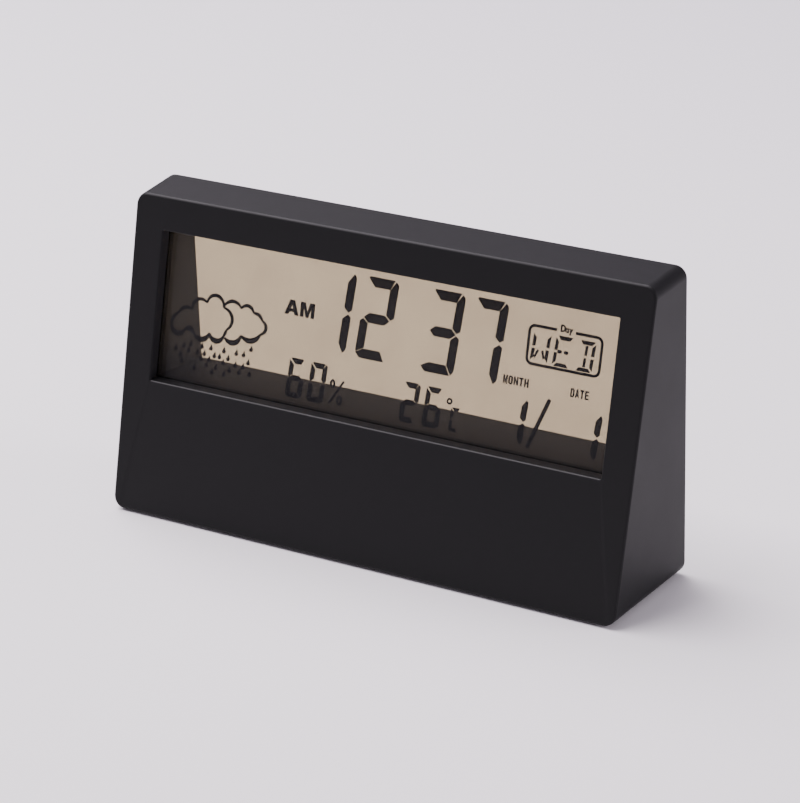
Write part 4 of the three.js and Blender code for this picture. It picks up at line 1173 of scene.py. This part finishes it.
class CLOCK_OT_fittings(bpy.types.Operator):
    """Gives the fastenings, feet, cells, contacts and board parts their finishes."""

    bl_idname = "clock.fittings"
    bl_label = "Fittings"

    def execute(self, context):
        steel = grained("zinc_plated_steel", "#b9bbbd", 0.32, 0.6, 0.004, metallic=1.0)
        rubber = grained("moulded_rubber", "#1b1b1b", 0.8, 0.4, 0.02)
        foam = grained("closed_cell_foam", "#151515", 0.95, 0.35, 0.05)
        epoxy = grained("black_epoxy", "#141416", 0.4, 0.3, 0.01)
        nylon = grained("natural_nylon", "#e4dfd2", 0.5, 0.5, 0.01, spread=1.05)
        amber = grained("polyimide_ribbon", "#b8843c", 0.3, 0.8, 0.004)
        red = grained("red_pvc", "#a31f1f", 0.4, 0.5, 0.006)
        black = grained("black_pvc", "#171717", 0.4, 0.5, 0.006)
        sleeve = grained("shrunk_cell_sleeve", "#4c5a63", 0.3, 9.0, 0.001, spread=1.04)
        mask = solder_mask("green_solder_mask")
        finishes = {
            steel: ["board_screw_", "crystal", "case_screw_"],
            foam: ["lcd_gasket"],
            epoxy: ["chip_cover", "buzzer", "thermistor", "tact_switch_"],
            nylon: ["ribbon_socket", "humidity_sensor"],
            amber: ["lcd_ribbon"],
            red: ["battery_lead_positive"],
            black: ["battery_lead_negative", "capacitor"],
            mask: ["main_board"],
        }
        self.add_cells(steel, sleeve)
        self.add_contacts(steel)
        for node in frame["nodes"]:
            if node.startswith("foot_"):
                soft_edged(node, node + "_skin", rubber, "case", 0.25, 3)
        for material, starts in finishes.items():
            for node in frame["nodes"]:
                if any(node.startswith(start) for start in starts):
                    give_material(node, material)
        return {"FINISHED"}

    def add_cells(self, steel, sleeve):
        for level, direction in (("lower", 1), ("upper", -1)):
            node = "battery_cell_" + level
            can, cover = cell_rings(node, direction)
            can_mesh = rings_to_mesh(node + "_can", can)
            add_piece(node + "_can", can_mesh, [steel], "case", [node])
            cover_mesh = rings_to_mesh(node + "_sleeve", cover, close_rows=True)
            add_piece(node + "_sleeve", cover_mesh, [sleeve], "case", [node])

    def add_contacts(self, steel):
        lower = float(sum(node_box("battery_cell_lower"))[2]) / 2
        upper = float(sum(node_box("battery_cell_upper"))[2]) / 2
        contacts = [
            ("contact_plate_positive", 1, [], True),
            ("contact_spring_negative", 1, [upper], True),
            ("contact_bridge", -1, [lower], False),
        ]
        for node, side, springs, tab in contacts:
            mesh = contact_meshes(node, side, springs, tab)
            add_piece(node + "_skin", mesh, [steel], "case", [node])


def give_material(node, material):
    """Puts a finish on a CAD node, whose mesh stays as it is."""
    piece = frame["nodes"][node]
    piece.data.materials.clear()
    piece.data.materials.append(material)


class CLOCK_PT_panel(bpy.types.Panel):
    bl_idname = "CLOCK_PT_panel"
    bl_label = "Weather station clock"
    bl_space_type = "VIEW_3D"
    bl_region_type = "UI"
    bl_category = "Clock"

    def draw(self, context):
        for operator in OPERATORS:
            self.layout.operator(operator.bl_idname)
        for group in ("clock_case", "clock_display", "clock_stage"):
            settings = getattr(context.scene, group)
            for name in settings.bl_rna.properties.keys():
                if name not in ("rna_type", "name"):
                    self.layout.prop(settings, name)


OPERATORS = [CLOCK_OT_stage, CLOCK_OT_case, CLOCK_OT_display, CLOCK_OT_keys, CLOCK_OT_fittings]
GROUPS = {
    "clock_case": ClockCaseSettings,
    "clock_display": ClockDisplaySettings,
    "clock_stage": ClockStageSettings,
}


def register():
    for group in (*GROUPS.values(), *OPERATORS, CLOCK_PT_panel):
        bpy.utils.register_class(group)
    for name, group in GROUPS.items():
        setattr(bpy.types.Scene, name, PointerProperty(type=group))


def unregister():
    for name in GROUPS:
        delattr(bpy.types.Scene, name)
    for group in (CLOCK_PT_panel, *reversed(OPERATORS), *GROUPS.values()):
        bpy.utils.unregister_class(group)


def main():
    register()
    bpy.ops.clock.stage()
    bpy.ops.clock.case()
    bpy.ops.clock.display()
    bpy.ops.clock.keys()
    bpy.ops.clock.fittings()


if __name__ == "__main__":
    main()
